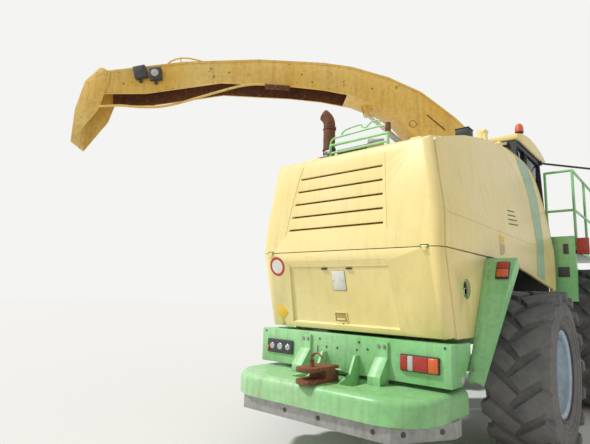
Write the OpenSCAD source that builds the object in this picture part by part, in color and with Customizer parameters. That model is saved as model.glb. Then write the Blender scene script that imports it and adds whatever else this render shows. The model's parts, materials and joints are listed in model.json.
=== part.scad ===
// Self-propelled forage harvester with rear steering and a slewing discharge spout.
// Built on machine axes: X to the right, Y forward with 0 at the rear axle, Z up from the ground.
// Every sub-part is then moved by at_origin(), so that the origin lies under the middle of the box.

/* [Machine] */
// Rear axle to front axle
wheelbase = 3100; // [3000:10:3200]
// Half the width over the engine hood's sides
hood_hw = 1010; // [990:5:1030]
// Thickness of the hood's moulded panels
panel_t = 36; // [28:1:44]
// Seam between two hood panels
seam_gap = 8; // [6:1:12]

/* [Rear wheels] */
// Radius over the lugs
rear_r = 790; // [770:5:800]
// Width of the tyre
rear_w = 600; // [560:10:610]
// Half the track
rear_track_half = 1225; // [1215:5:1240]
// Radius of the rim's flange
rear_rim_r = 415; // [400:5:430]
// Lug pairs round the tyre
rear_lugs = 17; // [14:1:18]
// Kingpin's distance from the centreline
kingpin_x = 800; // [790:5:810]
// Radius of the kingpin
kingpin_r = 40; // [34:1:46]
// Radius of the wheel spindle
rear_spindle_r = 60; // [50:1:68]

/* [Front wheels] */
// Radius over the lugs
front_r = 1000; // [980:5:1010]
// Width of the tyre
front_w = 700; // [660:10:710]
// Half the track
front_track_half = 1325; // [1320:5:1350]
// Radius of the rim's flange
front_rim_r = 470; // [450:5:490]
// Lug pairs round the tyre
front_lugs = 18; // [16:1:20]
// Radius of the wheel spindle
front_spindle_r = 80; // [70:1:90]

/* [Tyre lugs] */
// Height of a lug above the tread
lug_h = 48; // [40:1:54]
// Thickness of a lug's bar
lug_t = 150; // [140:1:156]
// Angle of a lug across the tread
lug_angle = 38; // [30:1:42]

/* [Chassis] */
// Distance of a rail's outer face from the centreline
rail_out = 420; // [400:5:430]
// Width of a rail
rail_w = 100; // [80:5:110]
// Underside of the rails
rail_z = 950; // [940:5:960]
// Height of the rails
rail_h = 200; // [180:5:220]
// Rear end of the rails
rail_y0 = -1230; // [-1240:5:-1220]
// How far the rear crossmember stands out beyond the hood
cross_over = 15; // [5:5:25]
// Rear face of the crossmember
cross_y = -1640; // [-1650:5:-1630]
// Underside of the crossmember
cross_z0 = 780; // [770:5:790]
// Top of the crossmember
cross_z1 = 1112; // [1108:1:1114]
// Plate thickness of the crossmember
cross_t = 20; // [14:1:26]

/* [Rear weight] */
// Half the width of the counterweight
weight_hw = 1020; // [1000:5:1030]
// Rearmost line of the counterweight
weight_y = -2180; // [-2190:5:-2160]
// Radius of its rear corners
weight_corner = 430; // [400:10:450]
// Underside of the counterweight
weight_z0 = 548; // [545:1:555]
// Top of the counterweight
weight_z1 = 742; // [735:1:750]
// Half the width of the recess at the hitch
recess_hw = 330; // [310:5:345]
// Height of the under-run bar
bar_h = 125; // [110:5:130]
// Radius of the hitch pin's hole
hitch_pin_r = 19; // [16:1:22]

/* [Hood] */
// Height of the seam between upper and lower panels
seam_z = 1883; // [1880:1:1886]
// Rear face at that seam
tail_y = -1745; // [-1750:5:-1740]
// Bottom edge of the lower rear flap
flap_z0 = 1146; // [1144:1:1150]
// Rear face at the flap's bottom edge
flap_y0 = -1550; // [-1560:5:-1545]
// Top rear corner of the hood
hood_corner_z = 2800; // [2790:5:2810]
// Radius of the hood's upright corners
corner_r = 90; // [80:5:100]
// Lean of the hood's sides above their crease
side_lean = 9; // [8:0.5:10]
// Forward lean of the hood's rear face
tail_lean = 4; // [3:0.5:5]
// Angle at which the sides widen forwards
side_yaw = 0.8; // [0:0.2:1.2]
// Height of the crease in the side panels
crease_z = 2190; // [2180:5:2200]
// Radius of the round service hole
hole_r = 85; // [70:1:95]

/* [Louvres] */
// Number of louvre slots
louvres = 5; // [4:1:6]
// Lowest slot
louvre_z = 2105; // [2095:5:2110]
// Distance between slots
louvre_pitch = 133; // [128:1:136]
// Height of a slot
louvre_h = 22; // [16:1:26]

/* [Cab] */
// Half the width of the cab
cab_hw = 780; // [770:5:790]
// Rear wall of the cab
cab_y0 = 1400; // [1395:5:1405]
// Windscreen at floor level
cab_y1 = 2790; // [2780:5:2800]
// Cab floor
cab_z0 = 2150; // [2140:5:2160]
// Underside of the cab roof
cab_z1 = 3700; // [3690:5:3710]
// Thickness of the cab's walls and door
cab_t = 46; // [40:1:50]
// Roof height above its underside
roof_h = 200; // [190:5:210]

/* [Platforms] */
// Height of the walking surface
deck_z = 2200; // [2195:1:2204]
// Outer edge of the platforms
deck_x = 1340; // [1330:5:1350]
// Radius of the handrail tube
tube_r = 18; // [16:1:21]
// Handrail above the platform
handrail_h = 1150; // [1100:10:1200]

/* [Spout] */
// Distance of the slewing axis from the rear axle
turret_y = 1000; // [995:1:1005]
// Slew of the spout to the left of straight back
slew = 45; // [40:1:50]
// Half the width of the spout
spout_hw = 205; // [195:5:215]
// Sheet thickness of the spout
spout_t = 12; // [8:1:14]
// Radius of the lift hinge's pin
lift_pin_r = 22; // [18:1:24]
// Radius of the lift cylinder's barrel
lift_barrel_r = 42; // [38:1:46]

/* [Intake] */
// Half the width of the feed house
feed_hw = 430; // [420:5:440]
// Front edge of the feed house, ahead of its hinge
feed_long = 1250; // [1220:5:1280]
// Hinge of the feed house, ahead of the front axle
feed_hinge_ahead = 800; // [790:5:810]
// Height of that hinge
feed_hinge_z = 1330; // [1320:5:1340]
// Underside of the feed house's mouth
feed_z0 = 470; // [460:5:480]
// Height of the feed house's mouth
feed_h = 760; // [750:5:770]
// Radius of the feed rollers' drums
roller_r = 130; // [120:2:136]

/* [Hidden] */
cross_hw = hood_hw + cross_over;
feed_hinge_y = wheelbase + feed_hinge_ahead;
feed_y1 = feed_hinge_y + feed_long;
$fn = 32;
fit = 0.08;          // running fit, radial
seat_gap = 0.3;      // between pieces that nearly touch
play = 10;           // beside what swings
lap = 5;             // how far joined solids run into each other
cream = "#e8d28c";
green = "#6fae6c";
dark = "#2b2b2b";
steel = "#8d9194";
spout_paint = "#d9b04a";

// The box of the whole machine: the spout's tip and the right front tyre are its sides
spout_reach = 5200;
tip_w = 2 * spout_hw + 30;
left_x = -spout_reach * sin(slew) - tip_w / 2 * cos(slew);
back_y = turret_y - spout_reach * cos(slew) - tip_w / 2 * sin(slew);
mid_x = (left_x + front_track_half + front_w / 2) / 2;
mid_y = (back_y + feed_y1) / 2;
module at_origin() translate([-mid_x, -mid_y, 0]) children();

// Points of an arc from a to b that bulges by h to the left of the way from a to b
function arc(a, b, h, n = 8) =
    let (c = norm(b - a), r = (c * c / 4 + h * h) / (2 * h), u = (b - a) / c, v = [-u[1], u[0]],
         m = (a + b) / 2 + v * (h - r), half = asin(min(1, c / 2 / abs(r))))
    [for (i = [0:n]) let (t = half * (2 * i / n - 1)) m + u * abs(r) * sin(t) + v * r * cos(t)];

// A profile in the machine's Y-Z plane, extruded along X from x0 to x1
module side_cut(x0, x1) translate([x0, 0, 0]) rotate([90, 0, 90]) linear_extrude(x1 - x0) children();
module box(x0, x1, y0, y1, z0, z1) translate([x0, y0, z0]) cube([x1 - x0, y1 - y0, z1 - z0]);
module both_sides() { children(); mirror([1, 0, 0]) children(); }
module rod(a, b, r) {
    d = b - a;
    translate(a) rotate([0, acos(d[2] / norm(d)), atan2(d[1], d[0])]) cylinder(r = r, h = norm(d));
}

// The bead's seat lies this much inside the rim's flange
bead_drop = 25;
// Hub: outer face as a share of the tyre's width, thickness of its cap, and the spindles' lengths in it
hub_face = 0.2;
hub_cap = 30;
rear_spindle_l = 210;
front_spindle_l = 260;

// Tyres: a revolved carcass with two rows of slanting lugs
module tyre(r, w, rim_r, lugs) {
    tread = r - lug_h;
    // half the section, as [radius, share of the width]
    half = [[rim_r - bead_drop + seat_gap, 0.37], [rim_r + 12, 0.38], [rim_r + 60, 0.45],
            [(rim_r + tread) / 2, 0.5], [tread - 55, 0.46], [tread, 0.36]];
    last = len(half) - 1;
    rotate([0, 90, 0]) rotate_extrude($fn = 48)
        polygon([for (p = half) [p[0], -p[1] * w], for (i = [last:-1:0]) [half[i][0], half[i][1] * w]]);
    intersection() {
        rotate([0, 90, 0]) cylinder(r = r, h = w, center = true, $fn = 64);
        for (side = [0, 1], i = [0:lugs - 1])
            rotate([(i + side / 2) * 360 / lugs, 0, 0]) mirror([side, 0, 0])
                translate([0.26 * w, 0, tread - 30]) rotate([0, 0, lug_angle]) lug(w);
    }
}
module lug(w) {
    long = 0.47 * w / cos(lug_angle);
    linear_extrude(2 * lug_h)
        polygon([[-long / 2, -lug_t / 2 + 8], [long / 2 - 30, -lug_t / 2 - 6], [long / 2, 0],
                 [long / 2 - 30, lug_t / 2 + 6], [-long / 2, lug_t / 2 - 8]]);
}
// Rims: a well, a dished disc and a hub with its blind bore; +X is the outer side
module rim(r, w, spindle_r, spindle_l) {
    seat = r - bead_drop;
    cap = hub_face * w - hub_cap;
    rotate([0, 90, 0]) rotate_extrude($fn = 64) polygon([
        [r, -0.4 * w], [r, -0.385 * w], [seat, -0.385 * w], [seat, -0.3 * w], [seat - 35, -0.2 * w],
        [seat - 35, 0.2 * w], [seat, 0.3 * w], [seat, 0.385 * w], [r, 0.385 * w], [r, 0.4 * w],
        [r - 16, 0.4 * w], [seat - 16, 0.37 * w], [seat - 16, 0.31 * w], [seat - 51, 0.2 * w],
        [seat - 54, 0.02 * w], [r * 0.62, 0.12 * w], [r * 0.44, 0.12 * w], [r * 0.40, hub_face * w],
        [0, hub_face * w], [0, cap], [spindle_r + fit, cap], [spindle_r + fit, cap - spindle_l],
        [spindle_r + 55, cap - spindle_l], [spindle_r + 55, 0.12 * w - 22], [r * 0.62, 0.12 * w - 22],
        [seat - 60, -0.03 * w], [seat - 51, -0.2 * w], [seat - 16, -0.31 * w], [seat - 16, -0.37 * w],
        [r - 16, -0.4 * w]]);
}

module rear_tyre_r() color(dark) at_origin() translate([rear_track_half, 0, rear_r])
    tyre(rear_r, rear_w, rear_rim_r, rear_lugs);
module rear_tyre_l() color(dark) at_origin() mirror([1, 0, 0]) translate([rear_track_half, 0, rear_r])
    tyre(rear_r, rear_w, rear_rim_r, rear_lugs);
module front_tyre_r() color(dark) at_origin() translate([front_track_half, wheelbase, front_r])
    tyre(front_r, front_w, front_rim_r, front_lugs);
module front_tyre_l() color(dark) at_origin() mirror([1, 0, 0])
    translate([front_track_half, wheelbase, front_r]) tyre(front_r, front_w, front_rim_r, front_lugs);
module rear_rim_r() color("#9db4c4") at_origin() translate([rear_track_half, 0, rear_r])
    rim(rear_rim_r, rear_w, rear_spindle_r, rear_spindle_l);
module rear_rim_l() color("#9db4c4") at_origin() mirror([1, 0, 0]) translate([rear_track_half, 0, rear_r])
    rim(rear_rim_r, rear_w, rear_spindle_r, rear_spindle_l);
module front_rim_r() color("#9db4c4") at_origin() translate([front_track_half, wheelbase, front_r])
    rim(front_rim_r, front_w, front_spindle_r, front_spindle_l);
module front_rim_l() color("#9db4c4") at_origin() mirror([1, 0, 0])
    translate([front_track_half, wheelbase, front_r])
    rim(front_rim_r, front_w, front_spindle_r, front_spindle_l);

// Steering: the axle's eye turns between the two arms of the knuckle's yoke
eye_r = 85;
eye_h = 170;
yoke_t = 45;
yoke_gap = seat_gap;
module knuckle() translate([kingpin_x, 0, rear_r]) {
    for (s = [-1, 1]) yoke_arm(s);
    cylinder(r = kingpin_r, h = eye_h + 2 * yoke_t, center = true);
    web_x = eye_r + play;
    box(web_x, web_x + 50, -95, 95, -eye_h / 2 - yoke_t, eye_h / 2 + yoke_t);
    hub_x = rear_track_half - kingpin_x + hub_face * rear_w - hub_cap;
    translate([web_x + 20, 0, 0]) rotate([0, 90, 0])
        cylinder(r = rear_spindle_r, h = hub_x - seat_gap - web_x - 20);
    // steering arm behind the axle
    box(20, web_x + 50, -250, -60, -eye_h / 2 - yoke_t, -eye_h / 2 - yoke_gap);
}
module yoke_arm(s) {
    z = s > 0 ? eye_h / 2 + yoke_gap : -eye_h / 2 - yoke_t;
    translate([0, 0, z]) linear_extrude(yoke_t - yoke_gap) {
        circle(r = eye_r);
        translate([0, -eye_r]) square([eye_r + play + 20, 2 * eye_r]);
    }
}
module knuckle_r() color(steel) at_origin() knuckle();
module knuckle_l() color(steel) at_origin() mirror([1, 0, 0]) knuckle();

steer_r = 48;
module rear_axle() color(green) at_origin() translate([0, 0, rear_r]) difference() {
    union() {
        both_sides() {
            translate([kingpin_x, 0, 0]) cylinder(r = eye_r, h = eye_h, center = true);
            box(0, kingpin_x - eye_r + 25, -75, 75, -eye_h / 2, eye_h / 2);
        }
        // centre saddle that reaches the rails, and the steering cylinder behind the beam
        box(-rail_out, rail_out, -120, 120, eye_h / 2 - lap, rail_z - rear_r);
        translate([0, -75 - steer_r + lap, -50]) rotate([0, 90, 0]) {
            cylinder(r = steer_r, h = 560, center = true);
            cylinder(r = 22, h = 900, center = true);
        }
    }
    both_sides() translate([kingpin_x, 0, 0]) cylinder(r = kingpin_r + fit, h = 2 * eye_h, center = true);
}
module front_axle() color(green) at_origin() translate([0, wheelbase, front_r]) both_sides() {
    hub_x = front_track_half + hub_face * front_w - hub_cap;
    inner = hub_x - front_spindle_l - 60;
    box(-lap, inner - 100, -140, 140, -240, rail_z - front_r);
    translate([inner - 200, 0, 0]) rotate([0, 90, 0]) cylinder(r = 210, h = 200);
    translate([inner - lap, 0, 0]) rotate([0, 90, 0])
        cylinder(r = front_spindle_r, h = hub_x - seat_gap - inner + lap);
    // feet of the intake's cylinders
    let (f = [lift_foot[0] - wheelbase, lift_foot[1] - front_r])
        cheeks(intake_x, intake_pin_r, 40, f) polygon([[120, -235], [120, -55], f + [0, 40], f - [0, 40]]);
}

// Chassis
duct_hw = 280;
feed_pin_r = 35;
housing_y0 = wheelbase + 190;
cab_post_y = [1500, 2640];
hood_post_y = [rail_y0, 560];
hood_post_x = hood_hw - 270;
module main_frame() color(green) at_origin() {
    both_sides() {
        box(rail_out - rail_w, rail_out, rail_y0, housing_y0, rail_z, rail_z + rail_h);
        // struts that carry the cab floor
        for (y = cab_post_y) box(rail_out, rail_out + 80, y, y + 100, rail_z + 40, cab_z0 - 60);
        box(rail_out, cab_hw, cab_post_y[0], cab_post_y[1] + 100, cab_z0 - 120, cab_z0);
        // struts that carry the hood's deck and lower sides
        for (i = [0, 1]) let (y = hood_post_y[i], z = rail_z + [120, 700][i]) {
            box(rail_out - lap, hood_post_x + 50, y, y + 80, z, z + 60);
            box(hood_post_x, hood_post_x + 50, y, y + 80, z, lookup(y, deck_line) - panel_t - 2 * seat_gap);
        }
        box(hood_post_x, hood_hw - panel_t - seat_gap, rail_y0, rail_y0 + 80, 1700, 1760);
        box(hood_post_x, flap_hinge_x + 33, rail_y0, rail_y0 + 80, 1870, 1900);
        let (y = hood_post_y[1]) box(rail_out - 80, rail_out, y, y + 80, rail_z + rail_h - lap, rail_z + 760);
    }
    // arms of the rear flap's hinges
    at_flap_hinges() {
        hinge_ears(40, 10, 3.6);
        for (s = [-1, 1]) box(s * 27 - 6, s * 27 + 6, 0, rail_y0 - tail_y + 10, -2, 9);
    }
    for (y = [rail_y0, -300, 900, 2400]) box(-rail_out, rail_out, y, y + 90, rail_z + 20, rail_z + 150);
}
module engine_block() color("#4a4a4a") at_origin()
    box(-rail_out + 20, rail_out - 20, -1330, -130, rail_z + rail_h, 2060);

bracket_x = 420;
module rear_crossmember() color(green) at_origin() {
    difference() {
        box(-cross_hw, cross_hw, cross_y, rail_y0, cross_z0, cross_z1);
        box(-cross_hw + cross_t, cross_hw - cross_t, cross_y + cross_t, rail_y0 + 1,
            cross_z0 - 1, cross_z1 - cross_t);
        // the returns are cut back below
        both_sides() translate([cross_hw - 1 - cross_t, rail_y0, cross_z0])
            side_cut(0, cross_t + 2) polygon([[1, -1], [1, 230], [-190, -1]]);
    }
    // webs to the rails
    both_sides()
        box(rail_out - 40, rail_out, cross_y + cross_t - 2, rail_y0, cross_z0 + 60, cross_z1 - cross_t + 2);
    // brackets of the counterweight
    both_sides() side_cut(bracket_x - 60, bracket_x + 60)
        polygon([[cross_y + 1, cross_z1 - 25], [cross_y - 24, cross_z1 - 25], [cross_y - 24, 960],
                 [cross_y - 150, weight_z1 + 70], [cross_y - 150, weight_z1], [cross_y + 1, weight_z1]]);
}
module weight_plan(inset = 0) {
    c = weight_corner;
    for (s = [-1, 1]) translate([s * (weight_hw - c), weight_y + c]) circle(r = c - inset, $fn = 48);
    translate([-weight_hw + c, weight_y + inset]) square([2 * (weight_hw - c), 2 * c]);
    translate([-weight_hw + inset, weight_y + c]) square([2 * (weight_hw - inset), -1290 - weight_y - c]);
}
module counterweight() color(green) at_origin() difference() {
    union() {
        translate([0, 0, weight_z0]) linear_extrude(weight_z1 - weight_z0 - 60) weight_plan();
        // the rounded top edge, in steps of an arc
        for (a = [30, 60, 90]) translate([0, 0, weight_z1 - 61]) linear_extrude(1 + 60 * sin(a))
            weight_plan(60 * (1 - cos(a)));
    }
    box(-recess_hw, recess_hw, weight_y + 210, cross_y, weight_z1 - 95, weight_z1 + 10);
    translate([0, weight_y + 95, weight_z0 - 1]) cylinder(r = hitch_pin_r + 2, h = 300);
}
module underrun_bar() color("#8f9092") at_origin() {
    top = weight_z0;
    t = 30;
    translate([0, 0, top - bar_h]) linear_extrude(bar_h) polygon([
        [-1040, -1500], [-1040, -1640], [-760, -2130], [760, -2130], [1040, -1640], [1040, -1500],
        [1040 - t, -1500], [1040 - t, -1630], [745, -2130 + t], [-745, -2130 + t], [-1040 + t, -1630],
        [-1040 + t, -1500]]);
    both_sides() box(560, 600, -2130 + t - 2, -1500, top - 60, top);
}
module tow_hitch() color("#4b3328") at_origin() {
    y = weight_y + 95;
    z = weight_z1;
    difference() {
        union() {
            box(-95, 95, y - 60, y + 260, z, z + 34);
            box(-95, 95, y - 60, y + 260, z + 96, z + 130);
            box(-95, 95, y + 90, y + 260, z + 30, z + 100);
            translate([0, y - 60, z]) cylinder(r = 95, h = 34);
            translate([0, y - 60, z + 96]) cylinder(r = 95, h = 34);
        }
        translate([0, y, z - 1]) cylinder(r = hitch_pin_r, h = 132);
    }
}
lamp_x = 765;
module rear_lamps() color("#b3261e") at_origin() {
    both_sides() translate([lamp_x, cross_y, 942]) {
        box(-172, 172, -42, 0, -68, 68);
    }
    both_sides() on_plate() box(hood_hw + 90, hood_hw + 200, -plate_t - 40, -plate_t, -250, -80);
}

// Hood
// Height of the hood's top along the machine, as [y, z]
hood_top = [[tail_y + 30, hood_corner_z], [-1560, 2890], [-1210, 2985], [-680, 3155], [0, 3315],
            [450, 3368], [1060, 3375]];
side_y0 = tail_y + corner_r;
// How far the rear face and the seam beside it lean forward at height z
function tail_in(z) = tan(tail_lean) * (z - seam_z);
// Outer face of a side at its rear end, as [height, x]
side_line = [[1400, hood_hw], [seam_z, hood_hw], [crease_z, hood_hw - 8],
    [3600, hood_hw - 8 - tan(side_lean) * (3600 - crease_z)]];
// Front edge of a side panel: an arc from the top to the foot
front_top = [640, 3250];
front_foot = [1900, 1640];
side_front = arc(front_top, front_foot, 250, 8);
module side_outline() polygon(concat(
    [[side_y0, seam_z + seam_gap], [side_y0 + tail_in(hood_corner_z), hood_corner_z]],
    [for (i = [1:5]) hood_top[i] - [0, 28]], side_front, [[700, 1800], [-60, seam_z + seam_gap]]));
// The side's line drawn in by a, down to b, along the whole side, which widens a little forwards
module side_strip(a, b) translate([hood_hw, side_y0, 0]) rotate([0, 0, -side_yaw])
    translate([-hood_hw, 4000, 0]) rotate([90, 0, 0]) linear_extrude(4400) polygon(concat(
        [for (p = side_line) [p[1] - a, p[0]]],
        [for (i = [3:-1:0]) [b < 0 ? b : side_line[i][1] - b, side_line[i][0]]]));
module side_panel() {
    intersection() {
        side_cut(0, 1400) side_outline();
        side_strip(0, panel_t);
    }
    for (y = side_hinge_y) {
        translate([side_axis[0], y, side_axis[1]]) rotate([0, 0, 90]) hinge_barrel(80);
        box(side_axis[0] - 10, side_axis[0] + 10, y - 40, y + 40,
            lookup(y, hood_top) - 60, side_axis[1] - 12);
    }
}
module side_panel_r() color(cream) at_origin() side_panel();
module side_panel_l() color(cream) at_origin() mirror([1, 0, 0]) side_panel();

// Plan of a panel with two rounded rear corners, drawn in by t
module plan(hw, y_back, y_front, t = 0, n = 48) {
    translate([-hw + t, y_back + corner_r]) square([2 * (hw - t), y_front - y_back - corner_r]);
    translate([-hw + corner_r, y_back + t]) square([2 * (hw - corner_r), y_front - y_back - t]);
    for (s = [-1, 1]) translate([s * (hw - corner_r), y_back + corner_r]) circle(r = corner_r - t, $fn = n);
}
module plan_shell(hw, y_back, y_front, t) difference() {
    intersection() {
        translate([-hw, y_back]) square([2 * hw, y_front - y_back]);
        plan(hw, y_back, y_front + corner_r);
    }
    plan(hw, y_back, y_front + corner_r, t);
}
// Hinges: a barrel on the moving panel, and a pin between two ears on the deck; the axis runs along X
hinge_r = 16;
hinge_pin_r = 8;
module hinge_barrel(w, r = hinge_r, pin_r = hinge_pin_r) rotate([0, 90, 0]) difference() {
    cylinder(r = r, h = w, center = true);
    cylinder(r = pin_r + fit, h = 2 * w, center = true);
}
module hinge_ears(w, r = hinge_r, pin_r = hinge_pin_r) rotate([0, 90, 0]) {
    cylinder(r = pin_r, h = w + 24, center = true);
    for (s = [-1, 1]) translate([0, 0, s * (w / 2 + 7)]) cylinder(r = r, h = 12, center = true);
}
hood_axis = [-1336, 2973];
hood_hinge_x = [-600, 600];
module tail_hood() color(cream) at_origin() {
    for (x = hood_hinge_x) {
        translate([x, hood_axis[0], hood_axis[1]]) hinge_barrel(80);
        side_cut(x - 40, x + 40) polygon([hood_axis + [-60, -42], hood_axis + [-12, 10],
            hood_axis + [-10, -10], hood_axis + [-8, -30], hood_axis + [-12, -42]]);
    }
    difference() {
        intersection() {
            tail_form(0);
            side_cut(-1100, 1100) polygon(tail_cap(0));
        }
        intersection() {
            tail_form(panel_t);
            side_cut(-1100, 1100) polygon(tail_cap(panel_t));
        }
        // cut back to the seam with the side panels
        both_sides() intersection() {
            side_strip(-60, panel_t + 2 * play);
            side_cut(0, 1300) polygon([[side_y0 - seam_gap, seam_z - 10],
                [side_y0 - seam_gap + tail_in(3200), 3200], [0, 3200], [0, seam_z - 10]]);
        }
        both_sides()
            box(flap_hinge_x - 40, flap_hinge_x + 40, tail_y - 1, tail_y + panel_t + 3, seam_z, seam_z + 22);
        for (i = [0:louvres - 1]) let (z = louvre_z + i * louvre_pitch)
            box(-630 + 28 * i, 472 - 7 * i, tail_y - 5, tail_y + tail_in(z) + panel_t + 5, z, z + louvre_h);
    }
}
// The tail's outer form drawn in by t: three sections that follow the sides' line
module tail_form(t) hull() for (z = [seam_z + seam_gap - min(t, 1), crease_z, 3000])
    translate([0, 0, z]) linear_extrude(0.1)
        plan(lookup(z, side_line) - 10, tail_y + tail_in(z), tail_y1 + min(t, 1), t, 32);
// Its side profile, with the sloping top lowered by t
tail_y1 = -1340;
function tail_cap(t) = [[tail_y - 10, seam_z - 10], [tail_y - 10, hood_corner_z - 25 - t],
    [tail_y + 105, 2850 - t], [-1560, 2890 - t], [tail_y1 + min(t, 1), 2950 - t],
    [tail_y1 + min(t, 1), seam_z - 10]];
flap_axis = [tail_y, seam_z + seam_gap / 2];
flap_hinge_x = hood_hw - 150;
module at_flap_hinges() both_sides() translate([flap_hinge_x, flap_axis[0], flap_axis[1]]) children();
module rear_flap() color(cream) at_origin() {
    at_flap_hinges() {
        hinge_barrel(40, 10, 3.6);
        box(-20, 20, -9, -6, -30, 0);
        box(-20, 20, -9, 6, -34, -seam_gap / 2 - 2);
    }
    lean = atan2(flap_y0 - tail_y, seam_z - flap_z0);
    long = norm([flap_y0 - tail_y, seam_z - flap_z0]);
    translate([0, tail_y, seam_z]) rotate([lean, 0, 0]) difference() {
        translate([0, 0, -long]) linear_extrude(long)
            plan_shell(hood_hw - 10, 0, corner_r - seam_gap, panel_t);
        // number plate recess and latch pocket
        intersection() {
            side_cut(-720, 580) polygon([[-1, -112], [22, -160], [22, -long + 60], [-1, -long + 50]]);
            rotate([90, 0, 0]) translate([0, 0, -30]) linear_extrude(40)
                polygon([[-620, -90], [500, -90], [545, -long + 20], [-675, -long + 20]]);
        }
        // level top edge, and notches for the ears
        rotate([-lean, 0, 0]) {
            translate([-1100, -200, 0]) cube([2200, 500, 300]);
            both_sides() for (s = [-1, 1]) translate([flap_hinge_x + s * 27, 0, 0])
                box(-9, 9, -20, 60, -9, 20);
        }
    }
}
deck_line = [[-1340 + seam_gap, 2950], for (i = [2:6]) hood_top[i]];
side_axis = [floor(lookup(3345, side_line)) + 16, 3384];
side_hinge_y = [-60, 470];
module hood_deck() color(cream) at_origin() {
    difference() {
        intersection() {
            side_cut(-hood_hw, hood_hw)
                polygon(concat(deck_line, [for (i = [5:-1:0]) deck_line[i] - [0, panel_t]]));
            side_strip(panel_t + play, -2000);
            mirror([1, 0, 0]) side_strip(panel_t + play, -2000);
        }
        // exhaust opening and the turret's well
        box(-785, -205, -1250, -800, 2800, 3400);
        translate([0, turret_y, 3200]) cylinder(r = 400, h = 400);
    }
    for (x = hood_hinge_x) {
        translate([x, hood_axis[0], hood_axis[1]]) hinge_ears(80);
        for (s = [-1, 1]) side_cut(x + s * 47 - 6, x + s * 47 + 6)
            polygon([hood_axis + [8, -22], hood_axis + [8, 12], hood_axis + [60, 4], hood_axis + [60, -16]]);
    }
    both_sides() for (y = side_hinge_y) {
        translate([side_axis[0], y, side_axis[1]]) rotate([0, 0, 90]) hinge_ears(80);
        for (s = [-1, 1]) translate([side_axis[0], y + s * 47, side_axis[1]]) {
            box(-40, 0, -6, 6, -22, 8);
            box(-80, -30, -6, 6, lookup(y, hood_top) - 30 - side_axis[1], 8);
        }
    }
}
// The plates behind the rear wheels lean back from their top edge
plate_top = [-700, 1850];
plate_run = 550;
plate_drop = 1060;
plate_t = 34;
plate_lean = atan2(plate_run, plate_drop);
module on_plate() translate([0, plate_top[0], plate_top[1]]) rotate([-plate_lean, 0, 0]) children();
module arch_plates() color(green) at_origin() both_sides() on_plate()
    rotate([90, 0, 0]) linear_extrude(plate_t)
        let (x = hood_hw + seat_gap, z = -norm([plate_run, plate_drop]))
            polygon([[x, 0], [hood_hw + 280, 0], [hood_hw + 100, z], [x, z]]);
module lower_sides() color(cream) at_origin() both_sides() difference() {
    // its front edge runs behind the arch plate
    side_cut(hood_hw - panel_t, hood_hw) polygon([[side_y0, seam_z],
        for (z = [seam_z, flap_z0])
            [plate_top[0] - plate_t / 2 + (z - plate_top[1]) * plate_run / plate_drop, z],
        [flap_y0 + corner_r, flap_z0]]);
    translate([hood_hw - 100, -1240, 1560]) rotate([0, 90, 0]) cylinder(r = hole_r, h = 200);
}
module guard_rail() color(green) at_origin() {
    y = -1290;
    foot = lookup(y + 15, deck_line) + seat_gap;
    for (x = [-445, 275]) {
        rod([x, y, foot], [x, y, foot + 150], 15);
        translate([x, y, foot + 150]) sphere(r = 15);
    }
    rod([-445, y, foot + 150], [275, y, foot + 150], 15);
    rod([-445, y, foot + 60], [275, y, foot + 60], 12);
}
exhaust_at = [-hood_hw + 365, -1050];
module exhaust() color("#8a4a30") at_origin() translate([exhaust_at[0], exhaust_at[1], 0]) {
    translate([0, 0, 2350]) difference() {
        cylinder(r = 70, h = 1120);
        translate([0, 0, 60]) cylinder(r = 64, h = 1120);
    }
    translate([0, 0, 1900]) cylinder(r = 105, h = 460);
    rod([-rail_out + 20 - seat_gap - exhaust_at[0], 0, 1985], [0, 0, 1985], 62);
    // the bent outlet
    translate([0, 0, 3470 - 1]) rotate([0, 0, 205]) translate([170, 0, 0])
        rotate([90, 0, 180]) rotate_extrude(angle = 55) translate([170, 0]) difference() {
            circle(r = 70);
            circle(r = 64);
        }
}
tank_hw = cab_hw + 30;
module fuel_tank() color(dark) at_origin() both_sides()
    box(rail_out + seat_gap, tank_hw, 1010, 1480, 620, 1500);
// Crop flow: drum housing ahead of the axle, channel under the cab and tower to the turret
tower = [turret_y - 240, turret_y + 240, 3380];
module crop_duct() color("#7f8a80") at_origin() difference() {
    union() {
        side_cut(-duct_hw, duct_hw) polygon([[wheelbase + 550, rail_z + 150],
            [tower[1] + 1060, rail_z + 150], [tower[1] + 260, 1240], [tower[0], 1500], [tower[0], tower[2]],
            [tower[1], tower[2]], [tower[1], 2060], [tower[1] + 360, 1800], [wheelbase + 300, 1800]]);
        side_cut(-400, 400) polygon([[housing_y0, 820], [feed_hinge_y + 100, 820], [feed_hinge_y + 100, 1600],
            [feed_hinge_y - 20, 1700], [housing_y0, 1700]]);
        translate([0, feed_hinge_y, feed_hinge_z]) rotate([0, 90, 0])
            cylinder(r = feed_pin_r, h = 2 * feed_hw + 20, center = true);
    }
    translate([0, turret_y, tower[2] - 380]) cylinder(r = 200, h = 500);
    box(-300, 300, feed_hinge_y - 200, feed_hinge_y + 110, 900, 1250);
}

// Cab
door_y0 = 1860;
door_y1 = 2440;
door_z0 = deck_z + 20;
door_z1 = cab_z1 - 60;
door_axis = [-cab_hw - 12, door_y0];
door_hinge_z = [door_z0 + 220, door_z1 - 220];
// Front and rear walls, as [height, y]
cab_front = [[cab_z0, cab_y1], [cab_z0 + 700, cab_y1 + 60], [cab_z1, cab_y1 - 130]];
cab_back = [[cab_z0, cab_y0], [cab_z1, cab_y0 - 40]];
rear_glass_hw = cab_hw - 130;
rear_glass_z = [cab_z0 + 900, cab_z1 - 80];
front_glass_hw = cab_hw - 60;
front_glass_z = [cab_z0 + 160, cab_z1 - 60];
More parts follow.
